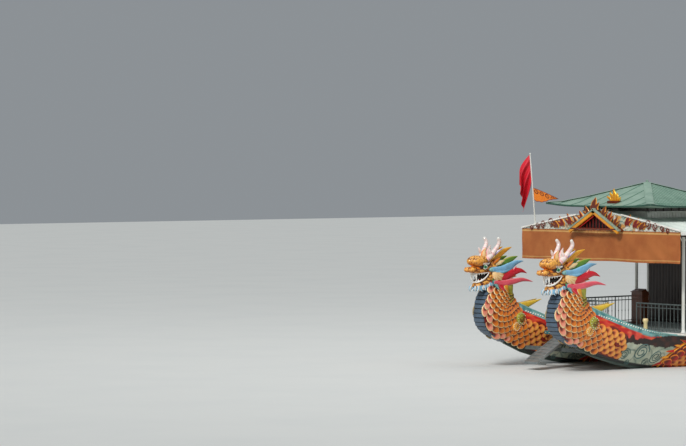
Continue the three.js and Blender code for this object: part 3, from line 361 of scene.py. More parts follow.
class Carving:
    """A mesh in the making, which holds the colour of each of its points."""

    def __init__(self) -> None:
        """Starts an empty mesh."""
        self.bm = bmesh.new()
        self.bm.verts.layers.float_color.new("paint")

    def add(self, part: bmesh.types.BMesh, hue: Optional[Hue] = None, matrix: Optional[Matrix] = None,
            material: int = 0) -> None:
        """Pours a finished part into the mesh and empties it.

        Args:
            part: the part's own mesh.
            hue: one colour for all of it, unless it holds its own.
            matrix: turns and moves the part.
            material: the number of its material in the finished piece.
        """
        layer = part.verts.layers.float_color.get("paint") or part.verts.layers.float_color.new("paint")
        if hue:
            for vert in part.verts:
                vert[layer] = hue.value
        for face in part.faces:
            face.material_index = material
        mesh = bpy.data.meshes.new("part")
        part.to_mesh(mesh)
        part.free()
        if matrix:
            mesh.transform(matrix)
        self.bm.from_mesh(mesh)
        bpy.data.meshes.remove(mesh)

    def bend(self, columns: int, rows: int, place: Place, paint: Paint | Hue, closed: bool = False,
             material: int = 0) -> None:
        """Bends a flat grid to a surface.

        Args:
            columns: how many faces it has along u.
            rows: how many faces it has along v.
            place: gives the point for u and v, each from 0 to 1.
            paint: gives the colour for u and v, or is one colour for all of it.
            closed: whether v runs right round, so that its seam is welded and its open ends are filled.
            material: the number of its material.
        """
        colour = plain(paint) if isinstance(paint, Hue) else paint
        part = bmesh.new()
        layer = part.verts.layers.float_color.new("paint")
        for vert in bmesh.ops.create_grid(part, x_segments=columns, y_segments=rows, size=0.5)["verts"]:
            u = round((vert.co.x + 0.5) * columns) / columns
            v = round((vert.co.y + 0.5) * rows) / rows
            vert.co = place(u, v)
            vert[layer] = colour(u, v)
        if closed:
            bmesh.ops.remove_doubles(part, verts=part.verts[:], dist=1e-5)
            rims = [edge for edge in part.edges if edge.is_boundary]
            bmesh.ops.holes_fill(part, edges=rims)
            bmesh.ops.recalc_face_normals(part, faces=part.faces[:])
        self.add(part, material=material)

    def sweep(self, spine: Sequence[Sequence[float]], flat: Vector, paint: Paint | Hue, rings: int = 16,
              around: int = 12, material: int = 0) -> None:
        """Draws an oval bar along a smooth spine.

        Args:
            spine: rows of x, y, z, half width and half thickness.
            flat: the direction in which the thickness is measured.
            paint: gives the colour for the place along and around, or is one colour for all of it.
            rings: how many faces it has along the spine.
            around: how many faces it has round it.
            material: the number of its material.
        """
        def place(u: float, v: float) -> Vector:
            """Point on the bar's oval at u along the spine and v round it."""
            x, y, z, width, depth = spline(spine, u)
            ahead = Vector(spline(spine, u + 0.01)[:3]) - Vector(spline(spine, u - 0.01)[:3])
            across = ahead.cross(flat).normalized()
            lift = across.cross(ahead).normalized()
            angle = TAU * v
            return Vector((x, y, z)) + across * width * math.cos(angle) + lift * depth * math.sin(angle)

        self.bend(rings, around, place, paint, closed=True, material=material)

    def block(self, corner: Sequence[float], other: Sequence[float], hue: Hue = Hue.WHITE, bevel: float = 0.0,
              matrix: Optional[Matrix] = None, material: int = 0) -> None:
        """Adds a box between two opposite corners, in any order, with its edges rounded.

        Args:
            corner: one corner.
            other: the corner across the box from it.
            hue: its colour.
            bevel: the rounding's width.
            matrix: turns and moves the finished box.
            material: the number of its material.
        """
        part = bmesh.new()
        low, high = (Vector([pick(pair) for pair in zip(corner, other)]) for pick in (min, max))
        centre = (low + high) / 2
        size = high - low
        bmesh.ops.create_cube(part, size=1.0, matrix=Matrix.Translation(centre) @ Matrix.Diagonal((*size, 1)))
        if bevel:
            bmesh.ops.bevel(part, geom=part.edges[:], offset=bevel, offset_type="OFFSET", segments=2,
                            profile=0.5, affect="EDGES", clamp_overlap=True, material=-1)
        self.add(part, hue, matrix, material)

    def turned(self, profile: Sequence[tuple[float, float]], matrix: Matrix, hue: Hue = Hue.WHITE,
               steps: int = 16, material: int = 0) -> None:
        """Turns a profile round the local Z axis, as on a lathe.

        Args:
            profile: radius and height, from the foot to the top.
            matrix: places the turned piece.
            hue: its colour.
            steps: its faces round the axis.
            material: the number of its material.
        """
        part = bmesh.new()
        points = [part.verts.new((radius, 0, height)) for radius, height in profile]
        edges = [part.edges.new(pair) for pair in zip(points, points[1:])]
        bmesh.ops.spin(part, geom=points + edges, cent=(0, 0, 0), axis=(0, 0, 1), angle=TAU, steps=steps,
                       use_merge=True, use_duplicate=False)
        bmesh.ops.remove_doubles(part, verts=part.verts[:], dist=1e-5)
        bmesh.ops.holes_fill(part, edges=[edge for edge in part.edges if edge.is_boundary])
        bmesh.ops.recalc_face_normals(part, faces=part.faces[:])
        self.add(part, hue, matrix, material)

    def bar(self, start: Vector, end: Vector, radius: float, hue: Hue = Hue.WHITE, steps: int = 12,
            material: int = 0) -> None:
        """Adds a round bar between two points.

        Args:
            start: the middle of one end.
            end: the middle of the other end.
            radius: the bar's radius.
            hue: its colour.
            steps: its faces round the axis.
            material: the number of its material.
        """
        run = end - start
        turn = run.to_track_quat("Z", "Y").to_matrix().to_4x4()
        edge = min(radius * 0.3, 0.004)
        inner, far = radius - edge, run.length
        profile = [(inner, 0), (radius, edge), (radius, far - edge), (inner, far)]
        self.turned(profile, Matrix.Translation(start) @ turn, hue, steps, material)

    def mesh(self, name: str, crease: float = 35.0) -> bpy.types.Mesh:
        """Hands over the finished mesh, smooth but for its sharp edges.

        Args:
            name: the mesh's name.
            crease: the angle in degrees past which an edge stays sharp.
        """
        mesh = bpy.data.meshes.new(name)
        self.bm.to_mesh(mesh)
        self.bm.free()
        mesh.polygons.foreach_set("use_smooth", [True] * len(mesh.polygons))
        mesh.set_sharp_from_angle(angle=math.radians(crease))
        return mesh


def show(name: str, mesh: bpy.types.Mesh, finishes: Sequence[Finish],
         replaces: Sequence[str] = (), body: str = BODY) -> bpy.types.Object:
    """Puts a finished mesh into the scene as a piece of the boat.

    Args:
        name: the piece's name.
        mesh: its mesh, in the boat's frame.
        finishes: its finishes, in the order of its material numbers.
        replaces: the nodes that it stands for.
        body: the body that it moves with.

    Returns:
        The piece.
    """
    piece = bpy.data.objects.new(name, mesh)
    bpy.context.scene.collection.objects.link(piece)
    mesh.materials.clear()
    for finish in finishes:
        mesh.materials.append(finish.material())
    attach(piece, body)
    if replaces:
        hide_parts(*replaces)
    LOG.info("%s: %d faces, rides on %s", name, len(mesh.polygons), body)
    return piece


def show_pair(name: str, mesh: bpy.types.Mesh, finishes: Sequence[Finish],
              replaces: Sequence[str] = ()) -> None:
    """Puts a port piece into the scene, and its copy on the starboard hull.

    Args:
        name: the pair's name, without its side.
        mesh: the port piece's mesh.
        finishes: the finishes of both.
        replaces: the nodes that they stand for, without their side.
    """
    copy = mesh.copy()
    copy.transform(Matrix.Translation((0, -2 * HULL_Y, 0)))
    for side, own in (("port", mesh), ("starboard", copy)):
        show(f"{name}_{side}", own, finishes, [f"{node}_{side}" for node in replaces])


@dataclass(frozen=True)
class Rib:
    """One cut through a hull, neck or tail: its foot, its top and its half widths, aft of the bow."""

    foot_aft: float
    foot_z: float
    top_aft: float
    top_z: float
    keel: float
    beam: float
    crown: float
    beam_at: float

    def row(self) -> list[float]:
        """The rib as one row of numbers, forward positions first."""
        return [BOW_X - self.foot_aft, self.foot_z, BOW_X - self.top_aft, self.top_z,
                self.keel, self.beam, self.crown, self.beam_at]


@dataclass
class Flank:
    """A smooth skin over a row of ribs, read by the place along it and the share of its height."""

    ribs: Sequence[Rib]
    rows: list[list[float]] = field(init=False)
    cuts: list[tuple[Vector, Vector]] = field(init=False)
    lengths: list[float] = field(init=False)

    def __post_init__(self) -> None:
        """Lays out the ribs' rows, close cuts from foot to top, and the running length of their middles."""
        self.rows = [rib.row() for rib in self.ribs]
        steps = 40 * len(self.rows)
        self.cuts = []
        for step in range(steps + 1):
            foot_x, foot_z, top_x, top_z = spline(self.rows, step / steps)[:4]
            self.cuts.append((Vector((foot_x, foot_z)), Vector((top_x, top_z))))
        middles = [(foot + top) / 2 for foot, top in self.cuts]
        self.lengths = [0.0]
        for before, after in zip(middles, middles[1:]):
            self.lengths.append(self.lengths[-1] + (after - before).length)

    def point(self, along: float, share: float, side: float) -> Vector:
        """Gives a point of the skin on the port hull.

        Args:
            along: from 0 at the first rib to 1 at the last.
            share: from 0 at the foot to 1 at the top.
            side: 1 on the port flank, -1 on the starboard flank, or between on the foot or the top.
        """
        foot_x, foot_z, top_x, top_z, keel, beam, crown, beam_at = spline(self.rows, along)
        if share <= beam_at:
            half = keel + (beam - keel) * math.sin(share / beam_at * math.pi / 2)
        else:
            half = crown + (beam - crown) * math.cos((share - beam_at) / (1 - beam_at) * math.pi / 2)
        x = foot_x + (top_x - foot_x) * share
        z = foot_z + (top_z - foot_z) * share
        return Vector((x, HULL_Y + side * half, z))

    def centre(self, index: int) -> Vector:
        """The middle of one cut, or of the first or last one past the ends."""
        foot, top = self.cuts[min(max(index, 0), len(self.cuts) - 1)]
        return (foot + top) / 2

    def middle(self, length: float) -> tuple[Vector, Vector]:
        """The middle line's point in X and Z so far from the first rib, and the way up across it."""
        passed = sum(reached < length for reached in self.lengths)
        index = min(max(passed, 1), len(self.lengths) - 1)
        first, second = self.centre(index - 1), self.centre(index)
        part = (length - self.lengths[index - 1]) / (self.lengths[index] - self.lengths[index - 1])
        run = (self.centre(index + 6) - self.centre(index - 6)).normalized()
        foot, top = self.cuts[index]
        across = Vector((-run.y, run.x))
        return first.lerp(second, part), across if across.dot(top - foot) > 0 else -across

    def find(self, spot: Vector) -> Optional[tuple[float, float]]:
        """The place along and the share of height of a point in X and Z, or nothing off the flank."""
        before = None
        for index, (foot, top) in enumerate(self.cuts):
            rise, reach = top - foot, spot - foot
            turn = rise.x * reach.y - rise.y * reach.x
            share = reach.dot(rise) / rise.length_squared
            if before is not None and turn * before <= 0 and 0 <= share <= 1:
                return (index - abs(turn) / (abs(turn) + abs(before) + 1e-9)) / (len(self.cuts) - 1), share
            before = turn
        return None

    def seat(self, along: float, share: float, side: float, tailward: float) -> Matrix:
        """Gives the frame in which a scale or carving sits on the skin.

        Args:
            along: from 0 at the first rib to 1 at the last.
            share: from 0 at the foot to 1 at the top.
            side: 1 on the port flank, -1 on the starboard flank.
            tailward: 1 where the tail lies towards the last rib, -1 where it lies towards the first.

        Returns:
            X along the body to the tail, Z out of the skin.
        """
        here = self.point(along, share, side)
        run = (self.point(along + 0.004, share, side) - self.point(along - 0.004, share, side)) * tailward
        up = self.point(along, min(share + 0.02, 1), side) - self.point(along, max(share - 0.02, 0), side)
        out = run.cross(up)
        if out.y * side < 0:
            out.negate()
        return frame_at(here, run, out)

    def locate(self, x: float, z: float) -> tuple[float, float]:
        """Finds the place along and the share of height where the skin has this X and Z."""
        low, high = 0.0, 1.0
        for _ in range(24):
            middle = (low + high) / 2
            row = spline(self.rows, middle)
            share = min(max((z - row[1]) / (row[3] - row[1]), 0.0), 1.0)
            if row[0] + (row[2] - row[0]) * share > x:
                low = middle
            else:
                high = middle
        row = spline(self.rows, low)
        return low, min(max((z - row[1]) / (row[3] - row[1]), 0.0), 1.0)

    def spot(self, aft: float, z: float, side: float, proud: float = 0.0) -> Vector:
        """The skin's point so far aft of the bow at height z, lifted off it sideways."""
        along, share = self.locate(BOW_X - aft, z)
        return self.point(along, share, side) + Vector((0, side * proud, 0))


def frame_at(origin: Vector, ahead: Vector, out: Vector) -> Matrix:
    """A frame at a point, with X ahead and Z out."""
    out = out.normalized()
    across = out.cross(ahead).normalized()
    ahead = across.cross(out).normalized()
    frame = Matrix((ahead, across, out)).transposed().to_4x4()
    frame.translation = origin
    return frame


HULL_RIBS = (
    Rib(0.50, 0.68, 1.00, 1.71, 0.125, 0.300, 0.100, 0.60),
    Rib(1.14, 0.43, 1.45, 1.51, 0.120, 0.400, 0.230, 0.75),
    Rib(1.97, 0.21, 2.05, 1.255, 0.120, 0.520, 0.430, 0.90),
    Rib(2.76, 0.07, 2.76, 1.035, 0.130, 0.640, 0.620, 0.95),
    Rib(3.60, -0.04, 3.60, 0.90, 0.140, 0.780, 0.780, 1.00),
    Rib(4.40, -0.15, 4.40, 0.90, 0.160, 0.890, 0.890, 1.00),
    Rib(5.30, -0.29, 5.30, 0.90, 0.180, 0.960, 0.960, 1.00),
    Rib(6.60, -0.40, 6.60, 0.90, 0.200, 1.000, 1.000, 1.00),
    Rib(8.50, -0.45, 8.50, 0.90, 0.200, 1.000, 1.000, 1.00),
    Rib(11.20, -0.43, 11.20, 0.90, 0.200, 0.990, 0.990, 1.00),
    Rib(12.60, -0.34, 12.60, 0.90, 0.180, 0.920, 0.920, 1.00),
    Rib(13.60, -0.18, 13.60, 0.90, 0.160, 0.800, 0.800, 1.00),
    Rib(14.60, 0.10, 14.40, 1.06, 0.130, 0.540, 0.480, 0.90),
    Rib(15.40, 0.50, 15.00, 1.28, 0.110, 0.260, 0.120, 0.60),
)
NECK_RIBS = (
    Rib(0.50, 0.68, 1.00, 1.71, 0.125, 0.300, 0.100, 0.60),
    Rib(0.00, 0.88, 0.93, 1.76, 0.140, 0.290, 0.090, 0.55),
    Rib(-0.28, 1.08, 0.88, 1.82, 0.165, 0.275, 0.085, 0.50),
    Rib(-0.40, 1.32, 0.82, 1.90, 0.185, 0.260, 0.085, 0.50),
    Rib(-0.40, 1.60, 0.78, 1.99, 0.190, 0.250, 0.090, 0.50),
    Rib(-0.33, 1.88, 0.76, 2.10, 0.190, 0.235, 0.095, 0.50),
    Rib(-0.23, 2.05, 0.75, 2.22, 0.180, 0.225, 0.100, 0.50),
    Rib(-0.11, 2.19, 0.74, 2.34, 0.170, 0.215, 0.110, 0.50),
)
TAIL_RIBS = (
    Rib(15.40, 0.50, 15.00, 1.28, 0.110, 0.260, 0.120, 0.60),
    Rib(15.78, 0.90, 15.24, 1.48, 0.100, 0.200, 0.090, 0.50),
    Rib(15.98, 1.35, 15.48, 1.64, 0.085, 0.150, 0.070, 0.50),
    Rib(16.02, 1.80, 15.64, 1.85, 0.070, 0.115, 0.060, 0.50),
    Rib(15.96, 2.15, 15.70, 2.10, 0.050, 0.080, 0.045, 0.50),
)


@dataclass(frozen=True)
class Scale:
    """One kind of carved scale: its colours from the rim in, and its root, the heart and root colours being
    painted shade towards the overlapped end.
    """

    rim: Hue
    body: Hue
    heart: Hue
    root: Hue = Hue.BROWN

    def mesh(self, length: float, width: float, dome: float) -> bpy.types.Mesh:
        """Builds the scale with X to its free end and Z out of the skin.

        Args:
            length: along the body.
            width: across the body.
            dome: how far its middle stands proud.
        """
        rings = (1.0, 0.86, 0.79, 0.55, 0.28, 0.0)
        cells = len(rings) - 1
        carving = Carving()

        def place(u: float, v: float) -> Vector:
            """Point on the scale at v round it and u from its rim to its middle."""
            radius = rings[round(u * cells)]
            angle = TAU * v
            x = radius * math.cos(angle) * length / 2
            y = radius * math.sin(angle) * width / 2
            lift = dome * (0.5 + x / length) + 0.3 * dome * (1 - (2 * y / width) ** 2)
            if radius == 1:
                lift -= 0.5 * dome
            notch = sunk(-radius * math.cos(angle), radius * math.sin(angle))
            return Vector((x, y, lift - 0.45 * dome * notch))

        def sunk(back: float, across: float) -> float:
            """How far the notch at the root goes down: 1 at its bottom, 0 where there is none."""
            return ramp(back, -0.16, 0.10) * (1 - ramp(abs(across), 0.24, 0.52))

        def paint(u: float, v: float) -> Colour:
            """Rim colour outside, then the body colour; its deepening to the heart colour and the dark root
            colour where the scale slips under its neighbours are painted shade.
            """
            radius = rings[round(u * cells)]
            back = -radius * math.cos(TAU * v)
            # Painted shade: the body deepens to the heart colour towards the root, and to the root colour in
            # the notch.
            free = mix(self.body.value, self.heart.value, 0.6 * ramp(back, -0.7, 0.1))
            if radius > 0.8:
                return self.rim.value
            return mix(free, self.root.value, sunk(back, radius * math.sin(TAU * v)))

        carving.bend(cells, 12, place, paint, closed=True)
        return carving.mesh("scale", crease=60)


class Tone(Enum):
    """Kinds of scale, by where they lie on the body."""

    ORANGE = Scale(Hue.CREAM, Hue.ORANGE, Hue.MAROON)
    GOLD = Scale(Hue.ORANGE, Hue.AMBER, Hue.CORAL, Hue.MAROON)
    SALMON = Scale(Hue.CREAM, Hue.SALMON, Hue.CORAL)
    LIME = Scale(Hue.CREAM, Hue.LIME, Hue.BROWN)
    EMBER = Scale(Hue.ORANGE, Hue.RED, Hue.BROWN)


@dataclass
class DragonHull:
    """One hull carved and painted as a dragon's body, with its neck, tail, scales and cloud scrolls."""

    scale_length: float = 0.225
    scale_width: float = 0.216
    row_pitch: float = 0.100
    column_pitch: float = 0.205
    scale_dome: float = 0.034
    scaled_to: float = 1.95
    first_coil: float = 4.35
    coil_pitch: float = 2.25
    coil_count: int = 5
    coil_half: float = 0.92
    coil_top: float = 0.76
    coil_foot: float = -0.02
    bead_pitch: float = 0.075
    scute_pitch: float = 0.118
    hull: Flank = field(default_factory=lambda: Flank(HULL_RIBS))
    neck: Flank = field(default_factory=lambda: Flank(NECK_RIBS))
    tail: Flank = field(default_factory=lambda: Flank(TAIL_RIBS))

    def coil(self, aft: float, z: float) -> float:
        """How far inside a coil of the body a point is: 1 in its middle, 0 on its edge, less outside."""
        nearest = round((aft - self.first_coil) / self.coil_pitch)
        nearest = min(max(nearest, 0), self.coil_count - 1)
        middle = self.first_coil + nearest * self.coil_pitch
        wide = (aft - middle) / self.coil_half
        tall = (z - self.coil_foot) / (self.coil_top - self.coil_foot)
        return 1 - math.hypot(wide, max(tall, 0.0))

    def cloud_top(self, aft: float) -> float:
        """The scalloped upper edge of the painted clouds."""
        line = 0.78 - 0.15 * (min(aft, 3.2) - 1.66)
        return line + 0.04 * abs(math.sin(aft * math.pi / 0.33))

    def hull_paint(self, spot: Vector, depth: float, rise: float) -> Colour:
        """The hull's painted zones.

        Args:
            spot: the point on the skin.
            depth: how far below the sheer it lies.
            rise: how far above the keel it lies.
        """
        aft, z = BOW_X - spot.x, spot.z
        if rise < 0.07 or z < -0.02:
            return Hue.KEEL.value
        fade = 1 - ramp(aft, 2.75, 3.5)
        lick = 0.5 + 0.5 * math.sin(aft * 15 + 1.8 * math.sin(aft * 6.1)) * math.cos(aft * 4.3)
        band = 0.15 * fade
        if depth < band:
            dapple = noise.noise(Vector((aft * 7, z * 9, 1.4)))
            shade = 0.75 * ramp(dapple, 0.05, 0.45) + 0.5 * ramp(depth, band - 0.03, band)
            return mix(Hue.SEA.value, Hue.TEAL.value, shade)
        flames = band + (0.09 + 0.16 * lick) * (1 - ramp(aft, 2.1, 3.1))
        if depth < flames and 0.9 < aft < 3.1:
            flicker = noise.noise(Vector((aft * 5 + z * 6, z * 14, 5.2)))
            glow = mix(Hue.CORAL.value, Hue.ORANGE.value, 0.8 * ramp(flicker, 0.18, 0.40))
            return mix(Hue.RED.value, glow, ramp(lick + 0.8 * flicker, 0.3, 0.75) * ramp(aft, 0.9, 1.5))
        inside = self.coil(aft, z) if aft >= 3.3 else -1.0
        if inside > 0:
            return Hue.MAROON.value
        if inside > -0.07:
            beat = math.sin(40 * math.atan2(z, aft % self.coil_pitch - 1))
            return mix(Hue.RED.value, Hue.GOLD.value, 0.5 + 0.5 * beat)
        if aft < self.scaled_to:
            return Hue.MAROON.value
        # Painted shade: the dark brown band between the flames and the clouds stands for the shadow under the
        # deck's overhang, mottled with a little brown.
        if z > self.cloud_top(aft):
            shade_mottle = noise.noise(Vector((aft * 5, z * 6, 3)))
            return mix(Hue.DARK.value, Hue.BROWN.value, 0.3 * ramp(shade_mottle, 0.0, 0.3))
        return self.cloud_paint(aft, z)

    def cloud_paint(self, aft: float, z: float) -> Colour:
        """Pale grey-green clouds outlined in a darker green, over a green swell near the keel."""
        swirl = noise.noise(Vector((aft * 2.3, z * 3.1, 0.7)))
        curl = math.sin(30 * math.hypot(aft % 0.6 - 0.3, z - 0.35) + 5 * swirl)
        cloud = mix(Hue.CLOUD.value, Hue.MOSS.value, 0.7 * ramp(swirl, 0.0, 0.45))
        lined = mix(cloud, Hue.LINE.value, 0.7 * ramp(curl, 0.80, 0.97))
        return mix(Hue.LINE.value, lined, ramp(z + 0.05 * math.sin(aft * 9), 0.03, 0.08))

    def skin(self, carving: Carving, flank: Flank, columns: int,
             paint: Callable[[Vector, float, float], Colour], swell: Callable[[float, float], float]) -> None:
        """Lays the closed skin of a hull, neck or tail.

        Args:
            carving: the mesh that takes it.
            flank: the ribs' surface.
            columns: its faces from end to end.
            paint: gives the colour for the point, its depth below the top and its rise over the foot.
            swell: how far the skin is pushed out, by the distance aft and the height.
        """
        climb = [step / 40 for step in range(41)]
        ring = [(share, 1.0) for share in climb]
        ring += [(1.0, 1 - step / 4) for step in range(1, 8)]
        ring += [(share, -1.0) for share in reversed(climb)]
        ring += [(0.0, step / 2 - 1) for step in range(1, 5)]

        def place(u: float, v: float) -> Vector:
            """Point on the skin."""
            share, side = ring[round(v * (len(ring) - 1))]
            spot = flank.point(u, share, side)
            if abs(side) == 1:
                spot.y += side * swell(BOW_X - spot.x, spot.z)
            return spot

        def colour(u: float, v: float) -> Colour:
            """Colour of the skin."""
            share, side = ring[round(v * (len(ring) - 1))]
            height = flank.point(u, 1, 1).z - flank.point(u, 0, 1).z
            return paint(flank.point(u, share, side), (1 - share) * height, share * height)

        carving.bend(columns, len(ring) - 1, place, colour, closed=True)

    def coil_swell(self, aft: float, z: float) -> float:
        """The coils stand a little proud of the hull's side."""
        return 0.045 * ramp(self.coil(aft, z), 0.0, 0.12)

    def lay_scales(self, carving: Carving, flank: Flank, tailward: float,
                   choose: Callable[[float, float, Vector], Optional[Tone]], size: float = 1.0) -> int:
        """Lays rows of overlapping scales on both sides of a flank.

        Args:
            carving: the mesh that takes them.
            flank: the surface they lie on.
            tailward: 1 where the tail lies towards the last rib, -1 where it lies towards the first.
            choose: gives the kind of scale for the place along, the share of height and the point.
            size: the scales' size against the usual one.

        Returns:
            How many scales there are.
        """
        measures = [size * measure for measure in (self.scale_length, self.scale_width, self.scale_dome)]
        kinds = {tone: tone.value.mesh(*measures) for tone in Tone}
        pitch = self.row_pitch * size
        count = 0
        for row in range(int(flank.lengths[-1] / pitch) + 1):
            middle, across = flank.middle(row * pitch)
            after, after_across = flank.middle((row + 1) * pitch)
            for column in range(-5, 6):
                offset = (column + 0.5 * (row % 2)) * self.column_pitch * size
                found = flank.find(middle + across * offset)
                stretch = (after + after_across * offset - middle - across * offset).length / pitch
                if found is None or stretch < 0.35:
                    continue
                for side in SIDES:
                    seat = flank.seat(*found, side, tailward) @ Matrix.Diagonal((min(stretch, 1.6), 1, 1, 1))
                    tone = choose(*found, seat.translation)
                    if tone is None:
                        continue
                    swell = self.coil_swell(BOW_X - seat.translation.x, seat.translation.z)
                    scale = kinds[tone].copy()
                    lift = Matrix.Translation(seat.col[2].to_3d() * (swell - 0.004))
                    scale.transform(lift @ seat)
                    carving.bm.from_mesh(scale)
                    bpy.data.meshes.remove(scale)
                    count += 1
        return count

    def neck_tone(self, along: float, share: float, spot: Vector) -> Optional[Tone]:
        """Salmon by the belly, yellow-green by the nape and orange between."""
        if share > 0.96:
            return None
        if share < (0.20 if along > 0.35 else 0.10):
            return Tone.SALMON
        return Tone.LIME if share > 0.78 and along > 0.4 else Tone.ORANGE

    def hull_tone(self, along: float, share: float, spot: Vector) -> Optional[Tone]:
        """Orange in front, below the flame band, and ember on the coils."""
        aft = BOW_X - spot.x
        row = spline(self.hull.rows, along)
        depth = (1 - share) * (row[3] - row[1])
        if share < 0.08 or spot.z < 0.03:
            return None
        if aft < self.scaled_to and depth > 0.40:
            return Tone.ORANGE if aft < 1.1 else Tone.GOLD
        if aft >= 3.4 and self.coil(aft, spot.z) > 0.13:
            return Tone.EMBER if self.coil(aft, spot.z) < 0.3 else Tone.GOLD
        return None

    def tail_tone(self, along: float, share: float, spot: Vector) -> Optional[Tone]:
        """Golden all the way up the tail, until it is too thin to carry a scale."""
        return Tone.GOLD if 0.05 < share < 0.95 and along < 0.9 else None

    def tail_paint(self, spot: Vector, depth: float, rise: float) -> Colour:
        """Red-brown between the scales, with slate scutes up the back edge of the tail."""
        if rise > 0.03:
            return Hue.MAROON.value
        scute = math.sin((spot.z - 0.7 * spot.x) * TAU / 0.12)
        return mix(Hue.SLATE.value, Hue.BLACK.value, ramp(scute, 0.55, 0.85))

    def scroll(self, carving: Carving, aft: float, z: float, radius: float, side: float, turn: float,
               hue: Hue = Hue.LINE, proud: float = 0.004) -> None:
        """Raises one spiral on the hull's side.

        Args:
            carving: the mesh that takes it.
            aft: how far its middle is aft of the bow.
            z: the height of its middle.
            radius: its radius.
            side: 1 to port, -1 to starboard of the hull's centreline.
            turn: the direction in which it winds, 1 or -1.
            hue: its colour.
            proud: how far its middle line stands off the skin.
        """
        turns, steps = 2.4, 26
        spine = []
        for step in range(steps + 1):
            share = step / steps
            reach = radius * (1 - 0.82 * share)
            angle = turn * TAU * turns * share
            x = aft + reach * math.cos(angle)
            spot = self.hull.spot(x, max(z + reach * math.sin(angle), 0.0), side, proud)
            thick = 0.045 * radius * (1 - 0.3 * share) + 0.006
            spine.append((*spot, thick, 0.8 * thick))
        carving.sweep(spine, TO_PORT, hue, rings=60, around=8)

    def trim(self) -> bpy.types.Mesh:
        """Builds the hull's raised work: sheer rail and beads, flames, clouds, coil hoops and the fin."""
        carving = Carving()
        for side in SIDES:
            self.sheer(carving, side)
            for aft, z, radius, turn in CLOUDS:
                self.scroll(carving, aft, z, radius, side, turn)
            for aft, z, radius, turn, hue in HAUNCH:
                self.haunch(carving, aft, z, radius, side, turn, hue)
            for index in range(self.coil_count):
                self.hoop(carving, self.first_coil + index * self.coil_pitch, side)
                if index < self.coil_count - 1:
                    between = self.first_coil + (index + 0.5) * self.coil_pitch
                    for offset, z, radius, turn in COIL_CLOUDS:
                        self.scroll(carving, between + offset, z, radius, side, turn)
            hub = frame_at(self.hull.spot(1.70, 0.75, side, 0.02), AHEAD, side * TO_PORT)
            profile = ((0.11, -0.03), (0.11, 0.005), (0.085, 0.02), (0.07, 0.008), (0, 0.012))
            carving.turned(profile, hub, Hue.MAROON)
        self.fin(carving)
        self.bollard(carving)
        return carving.mesh("hull_trim")

    def haunch(self, carving: Carving, aft: float, z: float, radius: float, side: float, turn: float,
               hue: Hue) -> None:
        """Raises one spiral boss of the haunch: a low pad, its spiral and a ring of white beads.

        Args:
            carving: the mesh that takes it.
            aft: how far its middle is aft of the bow.
            z: the height of its middle.
            radius: the pad's radius.
            side: 1 to port, -1 to starboard of the hull's centreline.
            turn: the direction in which the spiral winds, 1 or -1.
            hue: the spiral's colour.
        """
        pad = frame_at(self.hull.spot(aft, z, side, 0.02), AHEAD, side * TO_PORT)
        profile = ((1.0, -0.010), (0.95, 0.024), (0.6, 0.036), (0.0, 0.040))
        carving.turned([(share * radius, rise) for share, rise in profile], pad, hue, 24)
        self.scroll(carving, aft, z, 0.70 * radius, side, turn, Hue.BROWN, 0.062)
        for step in range(12):
            angle = TAU * step / 12
            bead = pad @ Vector((0.84 * radius * math.cos(angle), 0.84 * radius * math.sin(angle), 0.040))
            ball = bmesh.new()
            bmesh.ops.create_icosphere(ball, subdivisions=1, radius=0.012)
            carving.add(ball, Hue.WHITE, Matrix.Translation(bead))

    def sheer(self, carving: Carving, side: float) -> None:
        """Runs the rail along the top of the flank, with a row of white beads under it."""
        rail_end = 15.0
        spots = [self.hull.point(step / 60, 1, side) for step in range(61)]
        spine = [(*spot, 0.028, 0.024) for spot in spots if BOW_X - spot.x < rail_end]
        carving.sweep(spine, UP, Hue.SEA, rings=180, around=8)
        run = 1.1
        while run < 3.15:
            fade = 1 - ramp(run, 2.4, 3.3)
            top = spline(self.hull.rows, self.hull.locate(BOW_X - run, 0)[0])[3]
            bead = self.hull.spot(run, top - 0.014, side, 0.024)
            ball = bmesh.new()
            bmesh.ops.create_icosphere(ball, subdivisions=1, radius=0.019 * fade + 0.004)
            carving.add(ball, Hue.WHITE, Matrix.Translation(bead))
            run += self.bead_pitch

    def hoop(self, carving: Carving, aft: float, side: float) -> None:
        """Raises the gilt bead round one coil of the body, with flame tongues outside it."""
        tall = self.coil_top - self.coil_foot
        spine = []
        for step in range(25):
            angle = math.pi * (step / 24)
            spot = self.hull.spot(aft + self.coil_half * math.cos(angle),
                                  max(self.coil_foot + tall * math.sin(angle), 0.0), side, 0.02)
            spine.append((*spot, 0.020, 0.020))
        carving.sweep(spine, TO_PORT, Hue.GOLD, rings=72, around=8)
        for step in range(1, 14):
            angle = math.pi * step / 14
            line = []
            for share, width in ((0.98, 0.045), (1.08, 0.040), (1.20 + 0.04 * (step % 2), 0.006)):
                bend = angle + 0.10 * (share - 0.98) * 6
                spot = self.hull.spot(aft + share * self.coil_half * math.cos(bend),
                                      max(self.coil_foot + share * tall * math.sin(bend), 0.02), side, 0.014)
                line.append((*spot, width, min(width, 0.016)))
            hues = (Hue.RED, Hue.YELLOW) if step % 2 else (Hue.GOLD, Hue.CORAL)
            carving.sweep(line, TO_PORT, edged(*hues, 0.2), rings=12, around=8)

    def fin(self, carving: Carving) -> None:
        """Raises the yellow fin that sweeps aft from the nape."""
        for side in (0.05, -0.05):
            rows = ((0.98, 1.0, 1.60, 0.13, 0.03), (1.22, 1.0, 1.64, 0.11, 0.03),
                    (1.52, 1.6, 1.72, 0.06, 0.022), (1.86, 2.0, 1.81, 0.008, 0.008))
            spine = [(BOW_X - aft, HULL_Y + spread * side, *rest) for aft, spread, *rest in rows]
            carving.sweep(spine, TO_PORT, edged(Hue.YELLOW, Hue.CREAM), rings=18)

